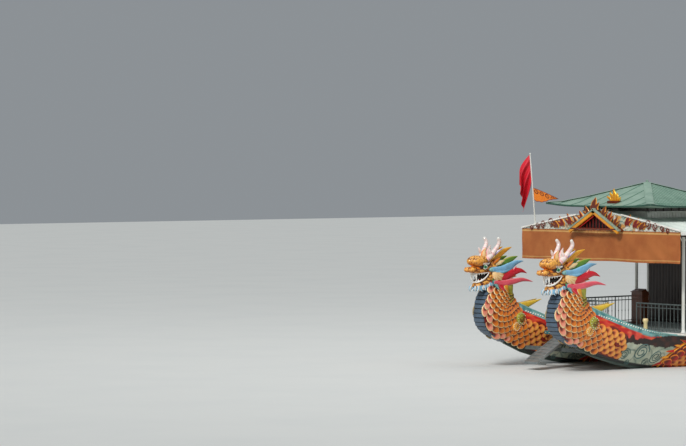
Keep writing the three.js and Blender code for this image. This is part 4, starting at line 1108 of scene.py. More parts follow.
    def bollard(self, carving: Carving) -> None:
        """Stands the mooring bollard on the foredeck."""
        foot = 0.93
        profile = ((0.095, 0), (0.095, 0.02), (0.06, 0.035), (0.052, 0.29), (0.075, 0.33), (0.078, 0.37),
                   (0.06, 0.41), (0, 0.41))
        carving.turned(profile, Matrix.Translation((BOW_X - 3.17, HULL_Y, foot)), Hue.CREAM, 24)

    def belly(self) -> bpy.types.Mesh:
        """Builds the blue-grey scutes up the neck's front and the rounded plates down its nape."""
        carving = Carving()
        flank = self.neck
        foot = [flank.point(step / 200, 0, 0) for step in range(201)]
        run, since = 0.0, 0.0
        for index in range(1, 200):
            run += (foot[index] - foot[index - 1]).length
            if run - since < self.scute_pitch:
                continue
            since = run
            along = index / 200
            half = spline(flank.rows, along)[4] + 0.012
            up = (foot[index + 1] - foot[index - 1]).normalized()
            out = Vector((up.z, 0, -up.x))
            seat = frame_at(foot[index] + out * 0.004, up, out)
            tilted = seat @ Matrix.Rotation(math.radians(6), 4, "Y")
            carving.block((-0.062, -half, -0.02), (0.046, half, 0.024), Hue.SLATE, 0.016, tilted)
            half *= 0.97
            carving.block((-0.078, -half, -0.024), (-0.055, half, 0.004), Hue.BLACK, 0.004, tilted)
        for side in SIDES:
            for points, widths, hue, rim in NAPE_LOCKS:
                spine = []
                for (ahead, least, z), width in zip(points, widths):
                    found = flank.find(Vector((BOW_X + ahead, z)))
                    half = abs(flank.point(*found, side).y - HULL_Y) if found else 0.0
                    off = max(least, half + 0.03)
                    spine.append((*on_head(ahead, side * off, z), width, 0.04))
                carving.sweep(spine, TO_PORT, edged(hue, rim, 0.16), rings=20, around=14)
        for step in range(6):
            along = 0.52 + step * 0.085
            top = flank.point(along, 1, 0)
            seat = frame_at(top, UP, Vector((-1, 0, 0.2)))
            profile = ((0.085, -0.03), (0.085, 0.0), (0.06, 0.03), (0.0, 0.04))
            hue = Hue.LIME if step % 2 else Hue.YELLOW
            carving.turned(profile, seat @ Matrix.Diagonal((0.8, 1.1, 1, 1)), hue, 16)
        return carving.mesh("belly")

    def tail_tuft(self, carving: Carving) -> None:
        """Fans the flames of the tail's tip."""
        for points, width, hue, rim in TUFT:
            spine = [(BOW_X - aft, HULL_Y + y, z, width * share, 0.028 * share + 0.004)
                     for (aft, y, z), share in zip(points, (0.8, 1.0, 0.65, 0.06))]
            carving.sweep(spine, TO_PORT, edged(hue, rim), rings=18)

    def build(self) -> None:
        """Makes the skins, scales and raised work for both hulls."""
        skin = Carving()
        self.skin(skin, self.hull, 480, self.hull_paint, self.coil_swell)
        show_pair("hull_skin", skin.mesh("hull_skin", 50), [CARVED], ["hull"])
        neck = Carving()
        self.skin(neck, self.neck, 90, lambda spot, depth, rise: Hue.MAROON.value, lambda aft, z: 0.0)
        show_pair("neck_skin", neck.mesh("neck_skin", 50), [CARVED], ["neck"])
        tail = Carving()
        self.skin(tail, self.tail, 120, self.tail_paint, lambda aft, z: 0.0)
        self.tail_tuft(tail)
        show_pair("tail_skin", tail.mesh("tail_skin", 50), [CARVED], ["tail"])
        for name, flank, tailward, choose, size in (
            ("neck_scales", self.neck, -1, self.neck_tone, 0.95),
            ("hull_scales", self.hull, 1, self.hull_tone, 1.15),
            ("tail_scales", self.tail, 1, self.tail_tone, 0.8),
        ):
            carving = Carving()
            count = self.lay_scales(carving, flank, tailward, choose, size)
            LOG.info("%s: %d scales a side", name, count)
            show_pair(name, carving.mesh(name, 60), [CARVED])
        show_pair("hull_trim", self.trim(), [CARVED])
        show_pair("neck_belly", self.belly(), [CARVED])


# Distance aft, height, radius and winding of the raised cloud scrolls behind the bow
CLOUDS = (
    (2.58, 0.47, 0.235, 1),
    (3.14, 0.32, 0.190, -1),
    (2.06, 0.44, 0.165, 1),
    (2.26, 0.20, 0.090, -1),
    (2.86, 0.19, 0.100, 1),
)
# Spirals on the haunch: distance aft, height, radius, winding and colour
HAUNCH = (
    (0.86, 1.32, 0.165, 1, Hue.LIME),
    (0.60, 1.10, 0.130, -1, Hue.AMBER),
)
# Locks down the nape and throat: points ahead, least off and up, half widths, colour and rim
NAPE_LOCKS = (
    (((-0.44, 0.17, 2.36), (-0.52, 0.18, 2.20), (-0.64, 0.15, 1.98)),
     (0.14, 0.15, 0.03), Hue.LIME, Hue.YELLOW),
    (((-0.34, 0.19, 2.30), (-0.37, 0.21, 2.18), (-0.45, 0.19, 2.03)),
     (0.08, 0.08, 0.01), Hue.GOLD, Hue.CREAM),
    (((-0.12, 0.21, 2.40), (-0.19, 0.22, 2.26), (-0.28, 0.20, 2.09)),
     (0.09, 0.09, 0.01), Hue.CRIMSON, Hue.ROSE),
    (((0.03, 0.19, 2.38), (-0.03, 0.21, 2.25), (-0.10, 0.20, 2.12)),
     (0.07, 0.06, 0.01), Hue.SEA, Hue.TEAL),
)
# Cloud scrolls between two coils: distance aft of the gap's middle, height, radius and winding
COIL_CLOUDS = (
    (-0.10, 0.60, 0.15, 1),
    (0.16, 0.42, 0.11, -1),
    (-0.14, 0.28, 0.09, -1),
)
# Tail flames: points of the middle line aft, across and up, then half width, colour and rim
TUFT = (
    (((15.85, 0.0, 2.05), (15.80, 0.0, 2.40), (15.60, 0.0, 2.75), (15.38, 0.0, 3.05)),
     0.13, Hue.RED, Hue.ORANGE),
    (((15.90, 0.03, 2.00), (16.02, 0.05, 2.30), (15.98, 0.06, 2.60), (15.86, 0.07, 2.86)),
     0.11, Hue.ORANGE, Hue.YELLOW),
    (((15.90, -0.03, 2.00), (16.05, -0.05, 2.20), (16.16, -0.06, 2.40), (16.20, -0.07, 2.62)),
     0.09, Hue.YELLOW, Hue.CREAM),
    (((15.75, 0.0, 2.00), (15.60, 0.0, 2.20), (15.42, 0.0, 2.40), (15.30, 0.0, 2.62)),
     0.09, Hue.GREEN, Hue.LIME),
)


@dataclass(frozen=True)
class Lobe:
    """One rounded mass of the carved head, ahead of the horn tips, off its middle and above the water."""

    ahead: float
    off: float
    z: float
    half_length: float
    half_width: float
    half_height: float
    tilt: float
    hue: Hue

    def matrix(self, side: float) -> Matrix:
        """Places a unit ball as this lobe, on one side of the head."""
        turn = Matrix.Rotation(math.radians(self.tilt), 4, "Y")
        size = Matrix.Diagonal((self.half_length, self.half_width, self.half_height, 1))
        return Matrix.Translation(on_head(self.ahead, side * self.off, self.z)) @ turn @ size


def on_head(ahead: float, off: float, z: float) -> Vector:
    """A point of the port head, by its place ahead of the horn tips and off the head's middle."""
    return Vector((BOW_X + ahead, HULL_Y + off, z))


SKULL_LOBES = (
    Lobe(-0.03, 0.0, 2.72, 0.34, 0.205, 0.25, 0, Hue.GOLD),
    Lobe(0.20, 0.0, 2.92, 0.28, 0.16, 0.12, 0, Hue.GOLD),
    Lobe(0.47, 0.105, 2.915, 0.27, 0.145, 0.145, 4, Hue.GOLD),
    # Painted shade: this dark lobe stands for the shadow in the recess under the brow, over the eye.
    Lobe(0.33, 0.160, 2.790, 0.19, 0.060, 0.070, 14, Hue.DARK),
    Lobe(0.52, 0.0, 2.71, 0.26, 0.150, 0.080, 4, Hue.ORANGE),
    Lobe(0.73, 0.085, 2.68, 0.14, 0.088, 0.075, 6, Hue.GOLD),
    Lobe(0.48, 0.110, 2.640, 0.26, 0.070, 0.055, 2, Hue.GOLD),
    Lobe(-0.15, 0.195, 2.53, 0.24, 0.085, 0.200, -8, Hue.CREAM),
    Lobe(0.10, 0.185, 2.68, 0.10, 0.050, 0.060, 10, Hue.SEA),
    Lobe(-0.26, 0.0, 2.60, 0.22, 0.200, 0.290, 0, Hue.MAROON),
    Lobe(-0.04, 0.0, 2.36, 0.27, 0.180, 0.200, 0, Hue.RED),
    Lobe(0.00, 0.150, 2.40, 0.09, 0.050, 0.090, 0, Hue.GREEN),
    # Painted shade: the black mouth roof stands for the shade inside the open mouth.
    Lobe(0.30, 0.0, 2.495, 0.27, 0.118, 0.085, 10, Hue.BLACK),
    Lobe(-0.03, 0.180, 2.50, 0.07, 0.045, 0.085, -20, Hue.TEAL),
)
JAW_LOBES = (
    Lobe(0.26, 0.0, 2.325, 0.35, 0.165, 0.105, 17, Hue.GOLD),
    Lobe(0.46, 0.0, 2.265, 0.17, 0.148, 0.090, 10, Hue.GOLD),
    Lobe(0.10, 0.130, 2.455, 0.15, 0.055, 0.085, 24, Hue.GOLD),
)
# The white lips, from the front of the mouth to its corner: ahead, off, z and radius
LOWER_LIP = ((0.61, 0.020, 2.345, 0.018), (0.57, 0.085, 2.342, 0.023), (0.47, 0.130, 2.372, 0.025),
             (0.36, 0.152, 2.430, 0.022), (0.27, 0.166, 2.500, 0.019), (0.20, 0.174, 2.590, 0.013))
UPPER_LIP = ((0.65, 0.020, 2.585, 0.009), (0.60, 0.100, 2.580, 0.011), (0.46, 0.152, 2.580, 0.011),
             (0.33, 0.167, 2.588, 0.011), (0.25, 0.173, 2.598, 0.011), (0.20, 0.175, 2.592, 0.011))


@dataclass(frozen=True)
class Blade:
    """One flat carved flame or lock: its middle line, widths and colours."""

    line: tuple[tuple[float, float, float], ...]
    widths: tuple[float, ...]
    thickness: float
    hue: Hue
    rim: Hue

    def carve(self, carving: Carving, side: float = 1.0, rings: int = 24) -> None:
        """Adds the blade on one side of the head.

        Args:
            carving: the mesh that takes it.
            side: 1 to port, -1 to starboard.
            rings: its faces from root to tip.
        """
        spine = [(*on_head(ahead, side * off, z), width, min(self.thickness, 0.7 * width))
                 for (ahead, off, z), width in zip(self.line, self.widths)]
        carving.sweep(spine, TO_PORT, edged(self.hue, self.rim, 0.16), rings=rings, around=14)


# Carved locks: the mane, then the fan behind the cheek, the ear and the crest on the brow
MANE = (
    Blade(((0.05, 0.21, 2.33), (-0.28, 0.235, 2.30), (-0.62, 0.25, 2.335), (-0.98, 0.26, 2.375),
           (-1.37, 0.26, 2.31)),
          (0.050, 0.095, 0.085, 0.055, 0.007), 0.035, Hue.ROSE, Hue.PINK),
    Blade(((-0.02, 0.22, 2.46), (-0.33, 0.245, 2.48), (-0.66, 0.26, 2.60), (-0.90, 0.27, 2.625),
           (-1.13, 0.27, 2.55)),
          (0.050, 0.105, 0.100, 0.060, 0.007), 0.035, Hue.CRIMSON, Hue.RED),
    Blade(((-0.55, 0.25, 2.60), (-0.66, 0.27, 2.66), (-0.72, 0.28, 2.76)),
          (0.050, 0.045, 0.006), 0.028, Hue.CRIMSON, Hue.PINK),
    Blade(((0.10, 0.22, 2.69), (-0.18, 0.24, 2.66), (-0.46, 0.25, 2.73), (-0.73, 0.26, 2.85),
           (-1.01, 0.26, 2.885)),
          (0.060, 0.105, 0.115, 0.065, 0.007), 0.035, Hue.AZURE, Hue.SKY),
    Blade(((0.00, 0.235, 2.62), (-0.25, 0.262, 2.61), (-0.50, 0.275, 2.67)),
          (0.040, 0.045, 0.006), 0.028, Hue.SKY, Hue.TEAL),
    Blade(((-0.10, 0.19, 2.80), (-0.33, 0.205, 2.84), (-0.58, 0.21, 2.94), (-0.84, 0.21, 3.02)),
          (0.060, 0.110, 0.080, 0.007), 0.034, Hue.GREEN, Hue.LIME),
    Blade(((-0.02, 0.15, 2.93), (-0.17, 0.16, 3.05), (-0.38, 0.17, 3.18), (-0.64, 0.18, 3.275)),
          (0.055, 0.080, 0.068, 0.007), 0.034, Hue.GOLD, Hue.YELLOW),
    Blade(((-0.12, 0.06, 2.90), (-0.24, 0.06, 3.02), (-0.38, 0.06, 3.13), (-0.52, 0.06, 3.24)),
          (0.050, 0.080, 0.060, 0.007), 0.030, Hue.LILAC, Hue.WHITE),
    Blade(((-0.20, 0.12, 2.62), (-0.42, 0.13, 2.56), (-0.66, 0.14, 2.50), (-0.86, 0.14, 2.47)),
          (0.060, 0.090, 0.070, 0.007), 0.030, Hue.ORANGE, Hue.YELLOW),
)
CHEEK_FAN = (
    Blade(((-0.18, 0.20, 2.66), (-0.32, 0.23, 2.69), (-0.42, 0.24, 2.66)),
          (0.070, 0.060, 0.010), 0.030, Hue.AMBER, Hue.ORANGE),
    Blade(((-0.20, 0.20, 2.54), (-0.36, 0.23, 2.54), (-0.48, 0.24, 2.50)),
          (0.075, 0.065, 0.010), 0.030, Hue.CREAM, Hue.ORANGE),
    Blade(((-0.16, 0.20, 2.42), (-0.28, 0.22, 2.37), (-0.38, 0.23, 2.30)),
          (0.070, 0.060, 0.010), 0.030, Hue.AMBER, Hue.CORAL),
)
EAR = (
    Blade(((-0.04, 0.19, 2.80), (-0.14, 0.25, 2.87), (-0.27, 0.29, 2.92)),
          (0.040, 0.070, 0.008), 0.030, Hue.CREAM, Hue.TEAL),
    Blade(((0.04, 0.18, 2.84), (-0.03, 0.24, 2.92), (-0.13, 0.27, 2.99)),
          (0.035, 0.055, 0.008), 0.028, Hue.ORANGE, Hue.BROWN),
)
CREST = (
    Blade(((0.22, 0.0, 2.96), (0.24, 0.0, 3.11), (0.16, 0.0, 3.26)),
          (0.095, 0.085, 0.010), 0.040, Hue.CREAM, Hue.ORANGE),
    Blade(((0.06, 0.0, 2.94), (0.06, 0.0, 3.14), (-0.01, 0.0, 3.33)),
          (0.100, 0.085, 0.010), 0.040, Hue.WHITE, Hue.PINK),
    Blade(((-0.10, 0.0, 2.90), (-0.11, 0.0, 3.06), (-0.18, 0.0, 3.20)),
          (0.090, 0.075, 0.010), 0.038, Hue.CREAM, Hue.SEA),
)
BEARD_SPIKES = 10
BEARD_ROWS = (-0.120, -0.05, 0.05, 0.120)
# The tongue, from its root to its tip: ahead, z, half width and half thickness
TONGUE = ((0.10, 2.46, 0.070, 0.026), (0.28, 2.43, 0.075, 0.026), (0.42, 2.405, 0.055, 0.020),
          (0.53, 2.43, 0.008, 0.006))
# Horn and prong: ahead, off, z and radius
HORN = ((0.27, 0.150, 2.940, 0.078), (0.12, 0.185, 3.080, 0.072), (0.01, 0.220, 3.215, 0.064),
        (-0.08, 0.245, 3.345, 0.056), (-0.095, 0.262, 3.440, 0.050), (-0.048, 0.275, 3.515, 0.042))
PRONG = ((0.12, 0.190, 3.070, 0.052), (0.19, 0.195, 3.165, 0.042), (0.245, 0.190, 3.265, 0.016))
# Teeth: ahead, off, root height, length and radius; the upper ones point down
TEETH_UP = (
    (0.64, 0.030, 2.575, 0.080, 0.020),
    (0.60, 0.095, 2.575, 0.215, 0.030),
    (0.52, 0.128, 2.575, 0.050, 0.018),
    (0.44, 0.142, 2.575, 0.045, 0.017),
    (0.36, 0.152, 2.580, 0.040, 0.016),
)
TEETH_DOWN = (
    (0.53, 0.105, 2.355, 0.075, 0.020),
    (0.44, 0.128, 2.395, 0.045, 0.016),
)


@dataclass
class DragonHead:
    """One carved dragon's head: fused masses, eyes, teeth, horns, beard and a mane of flame tongues."""

    voxel: float = 0.013
    outline: float = 0.010
    eye_radius: float = 0.070
    eye: tuple[float, float, float] = (0.36, 0.186, 2.755)

    def fuse(self, carving: Carving, lobes: Sequence[Lobe]) -> None:
        """Fuses lobes to one smooth skin and paints each in its colour, with brown outlines between them.

        Args:
            carving: the mesh that takes the skin.
            lobes: the masses.
        """
        places = [(lobe, lobe.matrix(side)) for lobe in lobes for side in (SIDES if lobe.off else (1,))]
        rough = bmesh.new()
        for _, matrix in places:
            bmesh.ops.create_icosphere(rough, subdivisions=4, radius=1.0, matrix=matrix)
        mesh = bpy.data.meshes.new("rough")
        rough.to_mesh(mesh)
        rough.free()
        holder = bpy.data.objects.new("rough", mesh)
        bpy.context.scene.collection.objects.link(holder)
        remesh = holder.modifiers.new("fuse", "REMESH")
        remesh.mode = "VOXEL"
        remesh.voxel_size = self.voxel
        fused = holder.evaluated_get(bpy.context.evaluated_depsgraph_get()).to_mesh()
        part = bmesh.new()
        part.from_mesh(fused)
        bpy.data.objects.remove(holder)
        for _ in range(4):
            bmesh.ops.smooth_vert(part, verts=part.verts[:], factor=0.5, use_axis_x=True, use_axis_y=True,
                                  use_axis_z=True)
        layer = part.verts.layers.float_color.new("paint")
        inverses = [(lobe, matrix.inverted(), min(lobe.half_length, lobe.half_width, lobe.half_height))
                    for lobe, matrix in places]
        for vert in part.verts:
            reach = []
            for lobe, inverse, thickness in inverses:
                local = inverse @ vert.co
                reach.append(((local.length - 1) * thickness, lobe, local))
            reach.sort(key=lambda item: item[0])
            vert[layer] = self.paint(*reach[0], reach[1][0] if reach[1][1] is not reach[0][1] else 1.0)
        carving.add(part)

    def paint(self, distance: float, lobe: Lobe, local: Vector, next_distance: float) -> Colour:
        """The paint on a fused mass.

        Args:
            distance: how far the point is from the nearest lobe's skin.
            lobe: that lobe.
            local: the point in the lobe's own unit ball.
            next_distance: how far the point is from the next lobe's skin.
        """
        if next_distance - distance < self.outline:
            return Hue.BROWN.value
        if lobe.hue is Hue.GOLD:
            spread = Vector((lobe.half_length, lobe.half_width, lobe.half_height)) * 17
            freckle = noise.noise(local * spread + Vector((3.1, 0.4, lobe.ahead * 9)))
            vein = abs(noise.noise(local * spread * 0.55 + Vector((0.3, 7.7, lobe.ahead * 5))))
            shade = max(0.85 * ramp(freckle, 0.14, 0.34), 0.6 * (1 - ramp(vein, 0.03, 0.09)))
            warm = mix(Hue.AMBER.value, Hue.ORANGE.value, 0.7 * ramp(-local.z, -0.2, 0.7))
            return mix(warm, Hue.BROWN.value, shade)
        if lobe.hue is Hue.RED:
            return mix(Hue.RED.value, Hue.ORANGE.value, ramp(math.sin(9 * local.x - 5 * local.z), 0.3, 0.8))
        if lobe.hue is Hue.CREAM:
            rib = 0.55 * ramp(math.sin(15 * math.atan2(local.z, 0.9 - local.x)), 0.1, 0.8)
            return mix(Hue.CREAM.value, Hue.ORANGE.value, ramp(-local.x, 0.20, 0.80) + rib)
        return lobe.hue.value

    def eyeball(self, carving: Carving, side: float) -> None:
        """Sets one eye, with a white lid's rim and lashes over it."""
        middle = on_head(self.eye[0], side * self.eye[1], self.eye[2])
        gaze = Vector((0.55, side * 0.83, 0.05))
        seat = frame_at(middle, AHEAD, gaze)

        def place(u: float, v: float) -> Vector:
            """Point on the ball, u from the pupil back and v round the gaze."""
            polar = math.pi * u
            return seat @ Vector((self.eye_radius * math.sin(polar) * math.cos(TAU * v),
                                  self.eye_radius * math.sin(polar) * math.sin(TAU * v),
                                  self.eye_radius * math.cos(polar)))

        def paint(u: float, v: float) -> Colour:
            """Black pupil, green iris, white ball."""
            if u < 0.11:
                return Hue.BLACK.value
            return Hue.IRIS.value if u < 0.22 else Hue.WHITE.value

        carving.bend(24, 24, place, paint, closed=True)
        for step in range(6):
            ahead = self.eye[0] - 0.085 + 0.034 * step
            root = on_head(ahead, side * (self.eye[1] + 0.012), self.eye[2] + 0.060)
            tip = root + Vector((0.02 * (step - 2.5) * 0.6, side * 0.045, 0.055))
            middle_line = (root + tip) / 2 + Vector((0, side * 0.012, -0.006))
            spine = [(*root, 0.014, 0.010), (*middle_line, 0.012, 0.008), (*tip, 0.003, 0.003)]
            carving.sweep(spine, TO_PORT, Hue.WHITE, rings=6, around=8)

    def horns(self, carving: Carving, side: float) -> None:
        """Grows one horn and its prong, white with pink growth rings."""
        def bands(u: float, v: float) -> Colour:
            """Growth rings, fewer towards the tip."""
            ring = ramp(math.sin(34 * u), 0.4, 0.9) * (1 - u)
            return mix(Hue.WHITE.value, Hue.PINK.value, 0.25 + 0.75 * ring)

        for rows in (HORN, PRONG):
            spine = [(*on_head(ahead, side * off, z), radius, radius) for ahead, off, z, radius in rows]
            carving.sweep(spine, TO_PORT, bands, rings=32, around=14)
        tip = HORN[-1]
        ball = bmesh.new()
        bmesh.ops.create_icosphere(ball, subdivisions=2, radius=tip[3])
        carving.add(ball, Hue.WHITE, Matrix.Translation(on_head(tip[0], side * tip[1], tip[2])))

    def teeth(self, carving: Carving, rows: Sequence[tuple], direction: int) -> None:
        """Sets a row of pointed teeth on both sides."""
        for ahead, off, z, length, radius in rows:
            for side in SIDES:
                seat = Matrix.Translation(on_head(ahead, side * off, z))
                flip = Matrix.Diagonal((1, 1, direction, 1))
                profile = ((radius, -0.02), (radius, 0), (0.75 * radius, 0.55 * length), (0.001, length))
                carving.turned(profile, seat @ flip, Hue.WHITE, 10)

    def lip(self, carving: Carving, rows: Sequence[tuple], sides: Sequence[float] = SIDES) -> None:
        """Runs a white lip along the mouth's edge."""
        for side in sides:
            spine = [(*on_head(ahead, side * off, z), radius, radius) for ahead, off, z, radius in rows]
            carving.sweep(spine, UP, Hue.WHITE, rings=30, around=10)

    def nostrils(self, carving: Carving, side: float) -> None:
        """Sinks a dark nostril in each lobe of the snout, inside a curled rim."""
        middle = on_head(0.835, side * 0.095, 2.715)
        seat = frame_at(middle, UP, Vector((0.9, side * 0.45, 0.25)))
        turns = [TAU * step / 10 for step in range(11)]
        spots = [seat @ Vector((0.030 * math.cos(turn), 0.022 * math.sin(turn), 0.0)) for turn in turns]
        ring = [(*spot, 0.009, 0.009) for spot in spots]
        carving.sweep(ring, Vector((1, 0, 0.01)), Hue.ORANGE, rings=30, around=8)
        carving.turned(((0.026, -0.03), (0.024, 0.002), (0, 0.004)), seat, Hue.BLACK, 12)

    def beard(self, carving: Carving) -> None:
        """Hangs rows of pointed locks under the jaw, from the chin back to its corner."""
        for spike in range(BEARD_SPIKES):
            share = spike / (BEARD_SPIKES - 1)
            ahead = 0.56 - 0.62 * share
            length = 0.17 - 0.04 * share
            root = 2.215 + 0.03 * (1 - share) ** 2 + 0.19 * share ** 2
            drop = length * (1 - 0.25 * (spike % 2))
            for off in BEARD_ROWS:
                sway = 0.03 * math.sin(5 * spike + 40 * off)
                line = ((ahead, off, root), (ahead + 0.03 + sway, 1.15 * off, root - 0.5 * length),
                        (ahead + 0.05 * (1 - 2 * share) - sway, 1.3 * off, root - drop))
                hues = (Hue.SKY, Hue.WHITE) if spike % 3 else (Hue.WHITE, Hue.SKY)
                Blade(line, (0.040, 0.038, 0.004), 0.026, *hues).carve(carving, 1, 12)

    def build(self) -> None:
        """Makes the skull, the jaw and the mane, and copies them to the other hull."""
        skull = Carving()
        self.fuse(skull, SKULL_LOBES)
        self.teeth(skull, TEETH_UP, -1)
        for side in SIDES:
            self.eyeball(skull, side)
            self.horns(skull, side)
            self.nostrils(skull, side)
            self.lip(skull, UPPER_LIP, (side,))
            for blade in CHEEK_FAN + EAR:
                blade.carve(skull, side, 18)
        for blade in CREST:
            blade.carve(skull, 1, 18)
        show_pair("head_skull", skull.mesh("head_skull", 45), [CARVED], ["skull"])
        jaw = Carving()
        self.fuse(jaw, JAW_LOBES)
        self.teeth(jaw, TEETH_DOWN, 1)
        self.lip(jaw, LOWER_LIP)
        self.beard(jaw)
        tongue = [(*on_head(ahead, 0, z), width, depth) for ahead, z, width, depth in TONGUE]
        jaw.sweep(tongue, UP, Hue.CRIMSON, rings=24, around=12)
        show_pair("head_jaw", jaw.mesh("head_jaw", 45), [CARVED], ["jaw"])
        mane = Carving()
        for blade in MANE:
            for side in SIDES:
                blade.carve(mane, side, 36)
        show_pair("head_mane", mane.mesh("head_mane", 60), [CARVED], ["mane"])


def drop_on(tree: BVHTree, x: float, y: float, lift: float = 0.0) -> Optional[Vector]:
    """The highest point of a surface over x and y, lifted off it, or nothing where there is none."""
    spot, _, _, _ = tree.ray_cast(Vector((x, y, 20)), Vector((0, 0, -1)))
    return spot + Vector((0, 0, lift)) if spot else None


def surface_of(node: str) -> BVHTree:
    """Reads a node's surface for dropping points on it."""
    bm = bmesh.new()
    bm.from_mesh(bpy.data.objects[node].data)
    tree = BVHTree.FromBMesh(bm)
    bm.free()
    return tree


def slope_z(y: float) -> float:
    """The height of the main roof's slopes."""
    return RIDGE_TOP - (RIDGE_TOP - EAVE_TOP) * abs(y) / HALF_ROOF


def downhill(frame: Matrix) -> int:
    """1 where a sloping frame's Y runs down, -1 where it runs up."""
    return -1 if (frame @ TO_PORT - frame.translation).z > 0 else 1


def coat(finish: Finish, *nodes: str) -> None:
    """Gives CAD nodes a finish."""
    for node in nodes:
        data = bpy.data.objects[node].data
        data.materials.clear()
        data.materials.append(finish.material())


@dataclass
class MainRoof:
    """The long gable roof: folded sheets on both slopes, ridge cap, fascias, rafters and ceiling boards."""

    pitch: float = 0.12
    fold_height: float = 0.022
    rafter_pitch: float = 0.62
    ridge_gap: float = 0.03
    overhang: float = 0.015

    def sheets(self, side: float) -> bpy.types.Mesh:
        """Folds the ribbed sheet of one slope.

        Args:
            side: 1 for the port slope, -1 for the starboard slope.
        """
        profile = ((0.0, 0.0), (0.40, 0.0), (0.46, 1.0), (0.54, 1.0), (0.60, 0.0), (1.0, 0.0))
        length = ROOF_FRONT_X - ROOF_REAR_X
        folds = int(length / self.pitch)
        steps = [(fold + share, rise) for fold in range(folds) for share, rise in profile[:-1]]
        steps.append((folds, 0.0))
        carving = Carving()

        def place(u: float, v: float) -> Vector:
            """Point on the folded sheet, u along the roof and v down the slope."""
            step, rise = steps[round(u * (len(steps) - 1))]
            x = ROOF_REAR_X + step / folds * length
            y = self.ridge_gap + v * (HALF_ROOF + self.overhang - self.ridge_gap)
            return Vector((x, side * y, slope_z(y) + 0.004 + rise * self.fold_height))

        carving.bend(len(steps) - 1, 1, place, Hue.WHITE)
        bmesh.ops.solidify(carving.bm, geom=carving.bm.faces[:], thickness=0.003)
        bmesh.ops.recalc_face_normals(carving.bm, faces=carving.bm.faces[:])
        return carving.mesh("roof_sheets", 20)

    def build(self) -> None:
        """Covers both slopes and trims their edges."""
        coat(ROOF_SHEET, "main_roof")
        show("roof_sheets_port", self.sheets(1), [ROOF_SHEET])
        show("roof_sheets_starboard", self.sheets(-1), [ROOF_SHEET])
        cap = Carving()
        ends = (ROOF_REAR_X - 0.01, -1.0, ROOF_FRONT_X + 0.01)
        spine = [(x, 0, RIDGE_TOP + 0.018, 0.12, 0.022) for x in ends]
        cap.sweep(spine, UP, Hue.WHITE, rings=24, around=16)
        for side in SIDES:
            edge = side * (HALF_ROOF + 0.012)
            cap.block((ROOF_REAR_X, edge - 0.012, CEILING - 0.02),
                      (ROOF_FRONT_X - 0.002, edge + 0.012, EAVE_TOP + 0.006), bevel=0.004)
        rear = Matrix.Translation((ROOF_REAR_X - 0.012, 0, 0))
        for side in SIDES:
            start = Vector((0, 0, RIDGE_TOP + 0.005))
            end = Vector((0, side * (HALF_ROOF + 0.02), EAVE_TOP + 0.005))
            self.rake(cap, rear @ start, rear @ end, 0.07)
        show("roof_trim", cap.mesh("roof_trim"), [WHITE_ENAMEL])
        self.ceiling()

    def rake(self, carving: Carving, start: Vector, end: Vector, depth: float) -> None:
        """Nails a rake board down one slope of the roof's end.

        Args:
            carving: the mesh that takes it.
            start: its upper end.
            end: its lower end.
            depth: its height.
        """
        run = end - start
        frame = frame_at(start, run, AHEAD)
        low = (run.length, downhill(frame) * depth, 0.012)
        carving.block((0, 0, -0.012), low, bevel=0.004, matrix=frame)

    def ceiling(self) -> None:
        """Fixes rafters and purlins under the pavilion's roof, and short rafters beside the cabin."""
        carving = Carving()
        reach = HALF_ROOF - 0.06
        top = CEILING - 0.001
        x = ROOF_FRONT_X - 0.35
        while x > 0.6:
            carving.block((x - 0.03, -reach, CEILING - 0.075), (x + 0.03, reach, top), bevel=0.006)
            x -= self.rafter_pitch
        for y in (-2.95, -1.5, 0.0, 1.5, 2.95):
            carving.block((0.42, y - 0.035, CEILING - 0.05), (ROOF_FRONT_X - 0.03, y + 0.035, top),
                          bevel=0.006)
        for side in SIDES:
            for x in (-5.2, -3.9, -2.6, -1.3, 0.0):
                carving.block((x - 0.03, side * 2.26, CEILING - 0.06), (x + 0.03, side * 2.98, top),
                              bevel=0.006)
        show("ceiling_beams", carving.mesh("ceiling_beams"), [SHADE_DARK_TIMBER])


# Tongues of the flame on the upper roof: off, lean, height and half width
ROOF_FLAME = ((0.0, 0.0, 0.36, 0.075), (0.07, 0.07, 0.24, 0.055), (-0.07, -0.06, 0.27, 0.06),
              (0.12, 0.12, 0.13, 0.045), (-0.12, -0.12, 0.15, 0.045))


